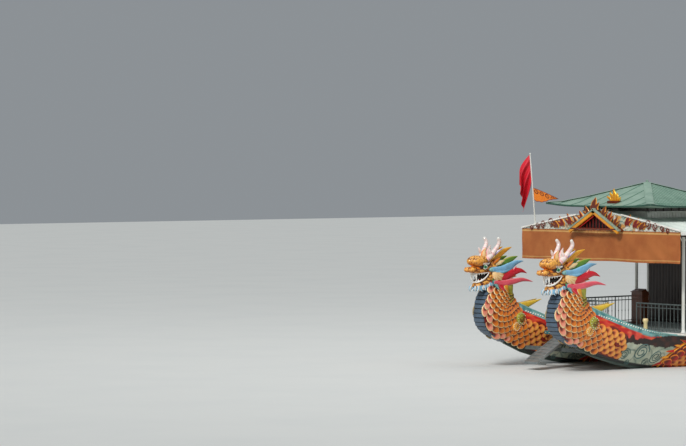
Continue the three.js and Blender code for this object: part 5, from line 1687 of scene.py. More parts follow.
@dataclass
class UpperRoof:
    """The hip roof over the clerestory: ribs, hip flashings, eave trim and a flame ornament."""

    middle_x: float = 2.8
    half_x: float = 1.98
    half_y: float = 2.0
    pitch: float = 0.125
    flashing: float = 0.17

    def build(self) -> None:
        """Dresses the roof and the clerestory under it."""
        coat(UPPER_SHEET, "upper_roof")
        coat(WHITE_ENAMEL, "clerestory")
        tree = surface_of("upper_roof")
        self.ribs(tree)
        self.hips(tree)
        self.eaves(tree)
        self.clerestory()
        self.ornament(tree)

    def ribs(self, tree: BVHTree) -> None:
        """Lays ribs down the four sides, from the hips to the eaves."""
        carving = Carving()
        for turn in range(4):
            along_x = turn % 2 == 0
            half, reach = (self.half_x, self.half_y) if along_x else (self.half_y, self.half_x)
            sign = 1 if turn < 2 else -1
            count = int(2 * half / self.pitch) if along_x else 8
            for index in range(1, count):
                offset = -half + index * 2 * half / count
                top = abs(offset) / half * reach + self.flashing
                if top > reach - 0.1:
                    continue
                spine = []
                for step in range(9):
                    down = top + (reach - 0.004 - top) * step / 8
                    x, y = (offset, sign * down) if along_x else (sign * down, offset)
                    spot = drop_on(tree, self.middle_x + x, y, 0.003)
                    if spot:
                        spine.append((*spot, 0.016, 0.011))
                if len(spine) > 2:
                    carving.sweep(spine, UP, Hue.WHITE, rings=16, around=6)
        show("upper_roof_ribs", carving.mesh("upper_roof_ribs"), [UPPER_RIB])

    def hips(self, tree: BVHTree) -> None:
        """Folds smooth flashings down the four hips and caps the apex."""
        carving = Carving()
        for x_sign in SIDES:
            for y_sign in SIDES:
                spine = []
                for step in range(14):
                    share = 0.02 + 0.965 * step / 13
                    x = self.middle_x + x_sign * share * self.half_x
                    spot = drop_on(tree, x, y_sign * share * self.half_y, 0.006)
                    spine.append((*spot, self.flashing * 0.62, 0.012))
                carving.sweep(spine, UP, Hue.WHITE, rings=40, around=10)
        profile = ((0.13, 0.0), (0.12, 0.02), (0.05, 0.04), (0.035, 0.07), (0.045, 0.09), (0.0, 0.12))
        carving.turned(profile, Matrix.Translation((self.middle_x, 0, 4.985)), Hue.WHITE, 20)
        show("upper_roof_flashing", carving.mesh("upper_roof_flashing"), [UPPER_SHEET])

    def eaves(self, tree: BVHTree) -> None:
        """Runs the eave's edge board round the roof, following its lifted corners."""
        carving = Carving()
        corners = ((1, 1), (-1, 1), (-1, -1), (1, -1), (1, 1))
        for (x0, y0), (x1, y1) in zip(corners, corners[1:]):
            spine = []
            for step in range(17):
                x = self.middle_x + (x0 + (x1 - x0) * step / 16) * (self.half_x - 0.003)
                y = (y0 + (y1 - y0) * step / 16) * (self.half_y - 0.003)
                spot = drop_on(tree, x, y, -0.022)
                spine.append((*spot, 0.014, 0.026))
            carving.sweep(spine, UP, Hue.WHITE, rings=32, around=8)
        show("upper_roof_eave", carving.mesh("upper_roof_eave"), [EAVE_GREEN])

    def clerestory(self) -> None:
        """Ribs the clerestory's long sides and runs a flashing and a low band of dark louvres round it."""
        flashing, louvres = Carving(), Carving()
        half_x, half_y, top, sill = 1.25, 1.2, 4.335, 4.245
        rear, front = self.middle_x - half_x, self.middle_x + half_x
        for side in SIDES:
            x = self.middle_x + side * half_x
            y = side * half_y
            flashing.block((rear - 0.05, y - 0.05, sill - 0.035), (front + 0.05, y + 0.05, sill), bevel=0.006)
            flashing.block((x - 0.05, -half_y - 0.05, sill - 0.035), (x + 0.05, half_y + 0.05, sill),
                           bevel=0.006)
            for index in range(int(2 * half_x / 0.12)):
                rib = rear + (index + 0.5) * 0.12
                low = slope_z(half_y) + 0.004
                flashing.block((rib - 0.012, y - 0.014, low), (rib + 0.012, y + 0.014, sill - 0.02),
                               bevel=0.004)
            for step in range(3):
                z = sill + 0.004 + step * 0.028
                louvres.block((rear, y - 0.016, z), (front, y + 0.016, z + 0.022), bevel=0.004)
                louvres.block((x - 0.016, -half_y, z), (x + 0.016, half_y, z + 0.022), bevel=0.004)
            for index in range(9):
                post = rear + index * 2 * half_x / 8
                louvres.block((post - 0.02, y - 0.019, sill), (post + 0.02, y + 0.019, top), bevel=0.004)
        show("clerestory_flashing", flashing.mesh("clerestory_flashing"), [WHITE_ENAMEL])
        # Painted shade: the near-black louvre band stands for the shadow under the upper roof's eave.
        show("clerestory_louvres", louvres.mesh("clerestory_louvres"), [SHADE_DARK_TIMBER])

    def ornament(self, tree: BVHTree) -> None:
        """Stands a gilt flame on the roof's front slope."""
        x, y = 4.42, 0.30
        foot = drop_on(tree, x, y)
        carving = Carving()
        carving.block((x - 0.09, y - 0.2, foot.z - 0.06), (x + 0.09, y + 0.2, foot.z + 0.05), Hue.BROWN, 0.02)
        for off, lean, height, width in ROOF_FLAME:
            base = Vector((x, y + off, foot.z + 0.03))
            rows = ((0, 0, width * 0.6, 0.025), (0.4 * lean + 0.02, 0.45, width, 0.03),
                    (lean - 0.02, 0.8, width * 0.5, 0.02), (lean, 1, 0.005, 0.005))
            spine = [(*(base + Vector((0, out, rise * height))), *half) for out, rise, *half in rows]
            carving.sweep(spine, AHEAD, edged(Hue.GOLD, Hue.YELLOW, 0.2), rings=18, around=12)
        show("roof_flame", carving.mesh("roof_flame"), [GILT])


# Flames along the gable's rakes: off, width, height, lean and colour
RAKE_FLAMES = ((0.30, 0.17, 0.30, 0.10, Hue.BROWN), (0.52, 0.17, 0.29, 0.10, Hue.MAROON),
               (0.74, 0.17, 0.27, 0.11, Hue.BROWN))
# The same along the pediment's slopes
SLOPE_FLAMES = ((1.10, 0.19, 0.30, 0.12, Hue.MAROON), (1.40, 0.19, 0.27, 0.12, Hue.MAROON),
                (1.63, 0.19, 0.20, 0.12, Hue.BROWN))
# Cloud scrolls outboard of them: off, radius and the way each one curls
SLOPE_SCROLLS = ((1.86, 0.125, 1), (2.14, 0.105, -1), (2.38, 0.085, 1), (2.60, 0.065, -1))


@dataclass
class Gable:
    """The front gable: boards, recess lattice, flame crests, finial and the painted pediment beside it."""

    face_x: float = 4.7003
    depth: float = 0.26
    half: float = 0.95
    foot: float = 3.735
    apex: float = 4.29

    def flame(self, carving: Carving, x: float, y: float, z: float, width: float, height: float, lean: float,
              hue: Hue) -> None:
        """Raises one three-tongued flame with a golden edge.

        Args:
            carving: the mesh that takes it.
            x: its place forward.
            y: the middle of its root across the boat.
            z: its root's height.
            width: its greatest width.
            height: its height.
            lean: how far its tip lies outboard of its root.
            hue: its colour.
        """
        out = 1 if lean >= 0 else -1
        for share, spread, tall in ((1.0, 0.0, 1.0), (0.6, 0.34, 0.62), (0.6, -0.34, 0.50)):
            root = Vector((x, y + 0.6 * spread * width, z))
            tip = Vector((x, y + lean + spread * 1.5 * width, z + tall * height))
            bow = Vector((0, -out * 0.22 * width, 0))
            belly = root.lerp(tip, 0.4) + bow
            neck = root.lerp(tip, 0.75) + 0.3 * bow
            spine = [(*root, 0.42 * width * share, 0.02), (*belly, 0.46 * width * share, 0.026),
                     (*neck, 0.26 * width * share, 0.02), (*tip, 0.005, 0.005)]
            carving.sweep(spine, AHEAD, edged(hue, Hue.GOLD, 0.2), rings=18, around=12)

    def boards(self, carving: Carving) -> None:
        """Builds the gable's hollow box: rake boards, foot board, side cheeks and the lattice inside it."""
        front = self.face_x + self.depth
        for side in SIDES:
            foot = Vector((0, side * self.half, self.foot))
            apex = Vector((0, 0, self.apex))
            run = apex - foot
            frame = frame_at(Vector((front - 0.045, *foot.yz)), Vector((0, *run.yz)), AHEAD)
            down = downhill(frame)
            far = run.length
            carving.block((-0.02, 0, -0.03), (far + 0.03, down * 0.105, 0.035), Hue.GOLD, 0.008, frame)
            carving.block((-0.03, down * -0.025, -0.05), (far + 0.04, down * 0.02, 0.05),
                          Hue.MOSS, 0.006, frame)
            carving.block((0, 0, 0.05 - self.depth), (far, down * 0.05, -0.03), Hue.BROWN, 0.004, frame)
            carving.block((0.22, down * 0.15, -0.05), (far - 0.12, down * 0.125, -0.02),
                          Hue.RED, 0.004, frame)
        carving.block((front - 0.09, -self.half, self.foot), (front - 0.01, self.half, self.foot + 0.05),
                      Hue.BROWN, 0.006)
        for index in range(-5, 6):
            y = index * 0.12
            top = self.apex - 0.16 - (self.apex - self.foot) * abs(y) / self.half
            if top > self.foot + 0.08:
                carving.block((front - 0.16, y - 0.012, self.foot + 0.03), (front - 0.135, y + 0.012, top),
                              Hue.MAROON, 0.003)

        def backing(u: float, v: float) -> Vector:
            """Point on the dark board behind the lattice, painted dark as the shade inside the gable's
            recess.
            """
            across = 2 * u - 1
            rise = (self.apex - self.foot - 0.04) * (1 - abs(across))
            return Vector((self.face_x + 0.024, across * (self.half - 0.06), self.foot + v * rise))

        carving.bend(24, 8, backing, Hue.DARK)

    def pediment(self, carving: Carving) -> None:
        """Paints cloud scrolls on the boards that close the roof's end, and trims their slopes."""
        def paint(u: float, v: float) -> Colour:
            """Grey and gold ground with teal and white cloud scrolls, and slate diagonal lines outboard as
            painted shade of roof ribs.
            """
            y = -HALF_ROOF + 2 * HALF_ROOF * u
            z = v * max(slope_z(y) - EAVE_TOP, 0.02)
            swirl = noise.noise(Vector((6 * y, 8 * z, 2)))
            curl = math.sin(52 * math.hypot((y % 0.31) - 0.155, z - 0.12) + 4 * swirl)
            outer = ramp(abs(y), 1.15, 1.75)
            gold = 0.8 * (1 - outer) * ramp(noise.noise(Vector((3.3 * y, 5 * z, 5))), 0.0, 0.3)
            ground = mix(mix(Hue.CLOUD.value, Hue.WHITE.value, 0.5 * outer), Hue.GOLD.value, gold)
            line = mix(Hue.TEAL.value, Hue.BROWN.value, 1.0 if math.sin(5 * y) > 0 else 0.0)
            lined = mix(ground, line, (0.8 - 0.55 * outer) * ramp(curl, 0.45, 0.8))
            # Painted shade: slate diagonal lines outboard stand for the shaded ribs of a roof slope.
            rib = 0.5 * outer * ramp(math.cos(TAU * (abs(y) + 1.3 * z) / 0.12), 0.3, 0.9)
            return mix(mix(lined, Hue.WHITE.value, ramp(swirl, 0.28, 0.36)), Hue.SLATE.value, rib)

        def place(u: float, v: float) -> Vector:
            """Point on the pediment's face."""
            y = -HALF_ROOF + 2 * HALF_ROOF * u
            height = max(slope_z(y) - EAVE_TOP - 0.004, 0.001)
            return Vector((self.face_x + 0.014, y, EAVE_TOP + 0.002 + v * height))

        carving.bend(420, 14, place, paint)
        for side in SIDES:
            start = Vector((self.face_x + 0.03, side * 0.86, slope_z(0.86) + 0.035))
            end = Vector((self.face_x + 0.03, side * (HALF_ROOF + 0.01), EAVE_TOP + 0.03))
            frame = frame_at(start, end - start, AHEAD)
            carving.block((0, -0.008, -0.03), ((end - start).length, 0.03, 0.025), Hue.WHITE, 0.004, frame)

    def scrolls(self, carving: Carving, side: float) -> None:
        """Curls a dragon-cloud scroll along the outer half of one slope."""
        x = self.face_x + 0.035
        for y, radius, turn in SLOPE_SCROLLS:
            base = slope_z(y) - 0.06 + 0.35 * radius
            spine = []
            for step in range(19):
                share = step / 18
                angle = turn * TAU * 1.4 * share - math.pi / 2
                reach = radius * (1 - 0.78 * share)
                spine.append((x, side * y + reach * math.cos(angle), base + reach * math.sin(angle),
                              0.026 * (1 - 0.4 * share), 0.022))
            carving.sweep(spine, AHEAD, edged(Hue.BROWN, Hue.WHITE, 0.12), rings=48, around=12)

    def build(self) -> None:
        """Makes the gable and the pediment."""
        gable = Carving()
        self.boards(gable)
        crest_x = self.face_x + self.depth - 0.11
        slope = (self.apex - self.foot) / self.half
        for side in SIDES:
            for y, width, height, lean, hue in RAKE_FLAMES:
                z = self.apex - slope * y - 0.02
                self.flame(gable, crest_x, side * y, z, width, height, side * lean, hue)
        self.flame(gable, crest_x, 0.0, self.apex - 0.02, 0.26, 0.36, 0.01, Hue.BROWN)
        show("gable", gable.mesh("gable"), [CARVED], ["front_gable"])
        pediment = Carving()
        self.pediment(pediment)
        for side in SIDES:
            for y, width, height, lean, hue in SLOPE_FLAMES:
                z = slope_z(y) - 0.20
                self.flame(pediment, self.face_x + 0.035, side * y, z, width, height, side * lean, hue)
            self.scrolls(pediment, side)
        show("pediment", pediment.mesh("pediment"), [CARVED])


# A post's flanged foot and its head, turned round its axis: radius and height above the deck
POST_FOOT = ((0.085, 0.001), (0.085, 0.012), (0.060, 0.020), (0.052, 0.070), (0.0455, 0.080))
POST_HEAD = ((0.0452, 2.58), (0.062, 2.62), (0.075, 2.66), (0.075, 2.692))


@dataclass
class DeckWork:
    """The deck's finish and edges, the boarding ramp, the railings and the posts."""

    side_y: float = 2.43
    rail_top: float = 1.7306
    second_top: float = 1.6156
    baluster_pitch: float = 0.14
    plank_pitch: float = 0.12
    plank_width: float = 0.112
    ramp_gap: float = 0.27

    def edges(self) -> None:
        """Runs the pale rubbing strake along the deck's sides and the teal plank across its front."""
        carving = Carving()
        for side in SIDES:
            spine = [(x, side * (self.side_y - 0.004), 0.925, 0.018, 0.036) for x in (-6.1, -2.0, 2.0, 3.9)]
            carving.sweep(spine, UP, Hue.WHITE, rings=40, around=10)
            outline = ((3.9, 0.60), (4.74, 0.74), (5.45, 0.85), (5.9, 0.90))
            spine = [(x, side * (y + 0.004), 0.93, 0.014, 0.032) for x, y in outline]
            carving.sweep(spine, UP, Hue.WHITE, rings=30, around=10)
            carving.block((3.885, side * 0.62, 0.90), (3.915, side * 2.43, 0.955), Hue.WHITE, 0.008)
            carving.block((5.895, side * self.ramp_gap, 0.872), (5.925, side * 0.90, 0.958), Hue.TEAL, 0.008)
            for index in range(3):
                spot = Matrix.Translation((5.925, side * (0.58 + index * 0.13), 0.915))
                stud = spot @ Matrix.Rotation(math.pi / 2, 4, "Y")
                carving.turned(((0.013, -0.003), (0.012, 0.003), (0.0, 0.006)), stud, Hue.CREAM, 10)
        show("deck_edges", carving.mesh("deck_edges"), [CARVED])

    def planks(self) -> None:
        """Lays the deck's boards over the plate, a few millimetres apart."""
        carving = Carving()
        y = -0.84
        while y < 0.83:
            front = 5.885 - 1.2 * max(abs(y + 0.06) - 0.6, 0)
            carving.block((3.93, y, DECK_TOP - 0.001), (front, y + self.plank_width, DECK_TOP + 0.008),
                          Hue.WHITE, 0.002)
            y += self.plank_pitch
        show("foredeck_planks", carving.mesh("foredeck_planks"), [DECK_GREY])

    def ramp(self) -> None:
        """Nails treads and side rails on the boarding ramp."""
        carving = Carving()
        hinge = Vector((5.9253, 0, 0.93))
        angle = math.radians(28)
        down = Vector((math.cos(angle), 0, -math.sin(angle)))
        top = Vector((math.sin(angle), 0, math.cos(angle)))
        frame = frame_at(hinge, down, top)
        for index in range(9):
            x = 0.12 + index * 0.155
            carving.block((x, -0.225, 0.024), (x + 0.035, 0.225, 0.040), Hue.WHITE, 0.004, frame)
        for side in SIDES:
            carving.block((0.06, side * 0.228, -0.03), (1.46, side * 0.252, 0.048), Hue.WHITE, 0.006, frame)
        show("ramp_treads", carving.mesh("ramp_treads"), [RAMP_GREY], body="ramp")
        coat(RAMP_GREY, "boarding_ramp")

    def railing(self, carving: Carving, start: Vector, end: Vector) -> None:
        """Welds one length of railing from round bars.

        Args:
            carving: the mesh that takes it.
            start: the foot of one end.
            end: the foot of the other end.
        """
        run = end - start
        unit = run.normalized()
        height = self.rail_top - start.z
        second = self.second_top - start.z
        for z, radius in ((height - 0.020, 0.020), (second - 0.012, 0.012), (0.05, 0.012)):
            carving.bar(start + UP * z, end + UP * z, radius, steps=14)
        bays = round((run.length - 0.03) / self.baluster_pitch)
        pitch = (run.length - 0.03) / bays
        for index in range(bays + 1):
            foot = start + unit * (0.015 + index * pitch)
            thick = index % 6 == 0 or index == bays
            carving.bar(foot, foot + UP * (height - 0.02), 0.016 if thick else 0.0085, steps=10)
            if thick:
                flange = ((0.032, 0.0), (0.032, 0.006), (0.018, 0.012))
                carving.turned(flange, Matrix.Translation(foot), steps=14)
            elif index < bays:
                knob = Matrix.Translation(foot + UP * (0.52 * second))
                carving.turned(((0.009, -0.02), (0.016, 0.0), (0.009, 0.02)), knob, steps=8)

    def railings(self) -> None:
        """Replaces each length of railing."""
        foot = 0.961
        for side, sign in (("port", 1), ("starboard", -1)):
            along = Carving()
            self.railing(along, Vector((0.845, sign * 2.3, foot)), Vector((3.755, sign * 2.3, foot)))
            show(f"rail_bars_{side}", along.mesh("rail_bars"), [GREY_ENAMEL],
                 [f"railing_{side}"])
            across = Carving()
            self.railing(across, Vector((3.8, sign * 0.55, foot)), Vector((3.8, sign * 2.255, foot)))
            show(f"rail_bars_front_{side}", across.mesh("rail_bars_front"), [GREY_ENAMEL],
                 [f"railing_front_{side}"])

    def posts(self) -> None:
        """Gives each post a flanged foot, two collars and a bracketed head."""
        carving = Carving()
        for x in (3.8, 0.8):
            for y in (2.3, -2.3):
                base = Matrix.Translation((x, y, DECK_TOP))
                carving.turned(POST_FOOT, base, steps=24)
                for z in (0.78, 2.35):
                    carving.turned(((0.0452, z - 0.02), (0.052, z), (0.0452, z + 0.02)), base, steps=24)
                carving.turned(POST_HEAD, base, steps=24)
                for dx, dy in ((0.16, 0), (-0.16, 0), (0, -0.16 * math.copysign(1, y))):
                    start = Vector((x, y, CEILING - 0.24))
                    end = start + Vector((dx, dy, 0.20))
                    carving.bar(start + Vector((dx, dy, 0)) * 0.25, end, 0.010, steps=8)
        show("post_fittings", carving.mesh("post_fittings"), [WHITE_ENAMEL])
        for end in ("front", "rear"):
            coat(WHITE_ENAMEL, f"post_{end}_port", f"post_{end}_starboard")

    def build(self) -> None:
        """Makes the deck's pieces."""
        coat(DECK_GREY, "deck")
        coat(GREY_ENAMEL, "crossbeam_front", "crossbeam_middle", "crossbeam_aft")
        self.edges()
        self.planks()
        self.ramp()
        self.railings()
        self.posts()


@dataclass
class Cabin:
    """The cabin behind the pavilion: trim, windows, panelling, doors and benches, and the helm before it."""

    rear_x: float = -5.8
    front_x: float = 0.4
    wall_y: float = 2.25
    windows: tuple[float, ...] = (-5.025, -3.475, -1.925, -0.375)
    window_half: float = 0.475
    sill: float = 1.9
    head: float = 2.8
    wall_top: float = 3.655
    batten_pitch: float = 0.155
    board_pitch: float = 0.12
    board_width: float = 0.115
    doorway_top: float = 3.03
    doorway_half: float = 0.443
    casing_half: float = 0.513

    def window(self, frames: Carving, panes: Carving, x: float, side: float) -> None:
        """Frames one window and hangs its two sliding sashes, half open.

        Args:
            frames: takes the frame and the sashes.
            panes: takes the glass.
            x: the window's middle.
            side: 1 on the port wall, -1 on the starboard wall.
        """
        def bar(x0: float, x1: float, z0: float, z1: float, inner: float, outer: float) -> None:
            """One bar between two depths measured from the wall's outer face."""
            near, far = side * (self.wall_y - inner), side * (self.wall_y + outer)
            frames.block((x0, near, z0), (x1, far, z1), bevel=0.005)

        left, right = x - self.window_half, x + self.window_half
        width = 0.05
        bar(left - width, right + width, self.head, self.head + width, 0.0, 0.022)
        bar(left - width - 0.02, right + width + 0.02, self.sill - width, self.sill, 0.0, 0.045)
        for edge in (left - width, right):
            bar(edge, edge + width, self.sill, self.head, 0.0, 0.022)
        for start, depth in ((left + 0.012, 0.018), (left + 0.012 + 0.10, 0.036)):
            end = start + self.window_half + 0.03
            for z in (self.sill + 0.012, self.head - 0.042):
                bar(start, end, z, z + 0.03, depth + 0.006, -depth + 0.008)
            for edge in (start, end - 0.03):
                bar(edge, edge + 0.03, self.sill + 0.012, self.head - 0.012, depth + 0.006, -depth + 0.008)
            inner = self.wall_y - depth
            panes.block((start + 0.02, side * (inner - 0.001), self.sill + 0.03),
                        (end - 0.02, side * (inner + 0.003), self.head - 0.03))

    def walls(self) -> None:
        """Trims the walls and fills the windows."""
        frames, panes = Carving(), Carving()
        for side in SIDES:
            for x in self.windows:
                self.window(frames, panes, x, side)
        show("window_frames", frames.mesh("window_frames"), [VARNISH])
        show("window_glass", panes.mesh("window_glass"), [GLASS])
        trim = Carving()
        bands = ((DECK_TOP + 0.001, 1.06, 0.02), (1.76, 1.80, 0.012), (2.95, 3.0, 0.014),
                 (3.58, self.wall_top, 0.02))
        for side in SIDES:
            face = side * self.wall_y
            for z0, z1, proud in bands:
                trim.block((self.rear_x, face, z0), (self.front_x, face + side * proud, z1), bevel=0.005)
            x = self.rear_x + 0.02
            while x < self.front_x:
                trim.block((x - 0.012, face, 1.06), (x + 0.012, face + side * 0.010, 1.76), bevel=0.004)
                x += self.batten_pitch
            for x in (self.rear_x + 0.03, self.front_x - 0.03):
                trim.block((x - 0.03, face - side * 0.002, DECK_TOP + 0.001),
                           (x + 0.03, face + side * 0.022, self.wall_top), bevel=0.006)
        show("cabin_trim", trim.mesh("cabin_trim"), [WHITE_ENAMEL])
        coat(WHITE_ENAMEL, "cabin_wall_port", "cabin_wall_starboard")
        coat(WHITE_ENAMEL, "cabin_bulkhead_aft", "cabin_bulkhead_front")

    def panelling(self, face_x: float, out: float, name: str) -> None:
        """Lines a bulkhead with dark boards and frames its doorway.

        Args:
            face_x: the bulkhead's outer face.
            out: 1 where that face looks forward, -1 where it looks aft.
            name: the piece's name.
        """
        boards = Carving()
        y = -2.19
        while y < 2.15:
            foot = self.doorway_top if abs(y + 0.06) < 0.5 else DECK_TOP + 0.002
            boards.block((face_x + out * 0.0005, y, foot),
                         (face_x + out * 0.016, y + self.board_width, self.wall_top), bevel=0.004)
            y += self.board_pitch
        near, far = face_x + out * 0.001, face_x + out * 0.030
        half = self.casing_half
        for side in SIDES:
            boards.block((near, side * self.doorway_half, DECK_TOP + 0.002),
                         (far, side * half, self.doorway_top), bevel=0.006)
        boards.block((near, -half, 2.966), (far, half, 3.04), bevel=0.006)
        # Painted shade: the near-black boards stand partly for the shade of the space under the roof.
        show(name, boards.mesh(name), [SHADE_DARK_TIMBER])

    def door(self, node: str, body: str) -> None:
        """Plants panels, a glazed light and a handle on a door.

        Args:
            node: the door's node.
            body: the body that it moves with.
        """
        low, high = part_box(node)
        faces = ((1, high.x), (-1, low.x))
        panels = Carving()

        def plant(y0: float, y1: float, z0: float, z1: float, proud: float, bevel: float,
                  material: int = 0) -> None:
            """One raised panel on both faces of the door."""
            for side, x in faces:
                panels.block((x - side * 0.001, y0, z0), (x + side * proud, y1, z1), bevel=bevel,
                             material=material)

        middle = (low.y + high.y) / 2
        half = (high.y - low.y) / 2 - 0.10
        plant(middle - half, middle + half, 1.08, 1.55, 0.008, 0.006)
        plant(middle - half, middle + half, 1.63, 1.93, 0.008, 0.006)
        plant(middle - half, middle + half, 2.04, 2.84, 0.004, 0.002, 1)
        for z in (2.01, 2.84):
            plant(middle - half - 0.02, middle + half + 0.02, z, z + 0.03, 0.010, 0.004)
        for y in (middle - half - 0.02, middle + half - 0.01):
            plant(y, y + 0.03, 2.03, 2.85, 0.010, 0.004)
        handle_y = low.y + 0.055
        profile = ((0.022, 0.0), (0.022, 0.004), (0.009, 0.006), (0.009, 0.02), (0.02, 0.028), (0.016, 0.038),
                   (0, 0.04))
        for side, x in faces:
            knob = Matrix.Translation((x, handle_y, 1.98)) @ Matrix.Rotation(side * math.pi / 2, 4, "Y")
            panels.turned(profile, knob, steps=16, material=2)
        show(f"{node}_panels", panels.mesh("door_panels"), [VARNISH, GLASS, BRASS],
             body=body)
        coat(VARNISH, node)

    def benches(self) -> None:
        """Lays slats and backrests on the benches."""
        for side, sign, back in (("port", 1, 2.17), ("starboard", -1, -2.165)):
            slats = Carving()
            for index in range(4):
                y0 = sign * 1.95 - 0.195 + index * 0.0995
                slats.block((-5.31, y0, 1.3806), (-0.09, y0 + 0.088, 1.398), bevel=0.005)
            for z in (1.50, 1.62):
                slats.block((-5.28, sign * 2.14, z), (-0.12, sign * 2.165, z + 0.08), bevel=0.006)
            for index in range(5):
                x = -5.2 + index * 1.25
                slats.block((x - 0.02, sign * 2.14, 1.38), (x + 0.02, back, 1.71), bevel=0.004)
            show(f"bench_slats_{side}", slats.mesh("bench_slats"), [VARNISH])
            coat(VARNISH, f"bench_{side}")

    def helm(self) -> None:
        """Tops the pedestal with a sloped console and turns a spoked wheel."""
        console = Carving()
        console.block((1.355, -1.725, 1.861), (1.66, -1.275, 1.885), Hue.WHITE, 0.008)
        tilt = Matrix.Translation((1.52, -1.5, 1.885)) @ Matrix.Rotation(math.radians(20), 4, "Y")
        console.block((-0.10, -0.20, -0.02), (0.10, 0.20, 0.05), Hue.WHITE, 0.012, tilt)
        profile = ((0.045, -0.002), (0.045, 0.008), (0.038, 0.010), (0.036, 0.005), (0, 0.005))
        for y in (-0.12, 0.0, 0.12):
            dial = tilt @ Matrix.Translation((-0.01, y, 0.05))
            console.turned(profile, dial, steps=24, material=1)
        for z in (1.05, 1.70):
            console.block((1.364, -1.715, z), (1.636, -1.285, z + 0.05), Hue.WHITE, 0.006)
        show("helm_console", console.mesh("helm_console"), [VARNISH, BRASS])
        coat(VARNISH, "helm_pedestal")
        wheel = Carving()
        hub = Vector((1.3397, -1.5, 1.7))
        radius = 0.215
        turns = [TAU * step / 24 for step in range(25)]
        ring = [(hub.x, hub.y + radius * math.cos(turn), hub.z + radius * math.sin(turn), 0.016, 0.013)
                for turn in turns]
        wheel.sweep(ring, AHEAD, Hue.WHITE, rings=72, around=12)
        spoke = ((0.010, 0.03), (0.016, 0.07), (0.009, 0.12), (0.011, 0.19), (0.011, 0.225), (0.014, 0.235),
                 (0.006, 0.243), (0, 0.245))
        for index in range(6):
            angle = TAU * index / 6
            ray = Vector((0, math.cos(angle), math.sin(angle)))
            wheel.turned(spoke, frame_at(hub, AHEAD, ray), steps=12)
        axle = frame_at(hub - Vector((0.03, 0, 0)), TO_PORT, AHEAD)
        boss = ((0.0, 0.0), (0.024, 0.002), (0.038, 0.012), (0.038, 0.048), (0.024, 0.058), (0.0, 0.06))
        wheel.turned(boss, axle, steps=24, material=1)
        show("helm_wheel", wheel.mesh("helm_wheel"), [VARNISH, BRASS], ["steering_wheel"],
             body="helm")

    def build(self) -> None:
        """Makes the cabin's pieces."""
        self.walls()
        self.panelling(self.front_x, 1, "front_panelling")
        self.panelling(self.rear_x, -1, "aft_panelling")
        self.door("door_front", "front_door")
        self.door("door_aft", "aft_door")
        self.benches()
        self.helm()


@dataclass
class RunningGear:
    """What lies under water: keels, propellers with their cones, and rudders."""

    def build(self) -> None:
        """Gives the keels and rudders their paint and the propellers their cones."""
        for side, sign in (("port", 1), ("starboard", -1)):
            coat(BOTTOM_PAINT, f"keel_{side}", f"rudder_{side}")
            coat(PROPELLER_BRONZE, f"propeller_{side}")
            cap = Carving()
            seat = frame_at(Vector((-6.118, sign * HULL_Y, -0.48)), UP, Vector((-1, 0, 0)))
            profile = ((0.030, -0.01), (0.032, 0.0), (0.028, 0.012), (0.016, 0.022), (0.0, 0.026))
            cap.turned(profile, seat, steps=20)
            show(f"propeller_cone_{side}", cap.mesh("propeller_cone"), [PROPELLER_BRONZE],
                 body=f"{side}_propeller")


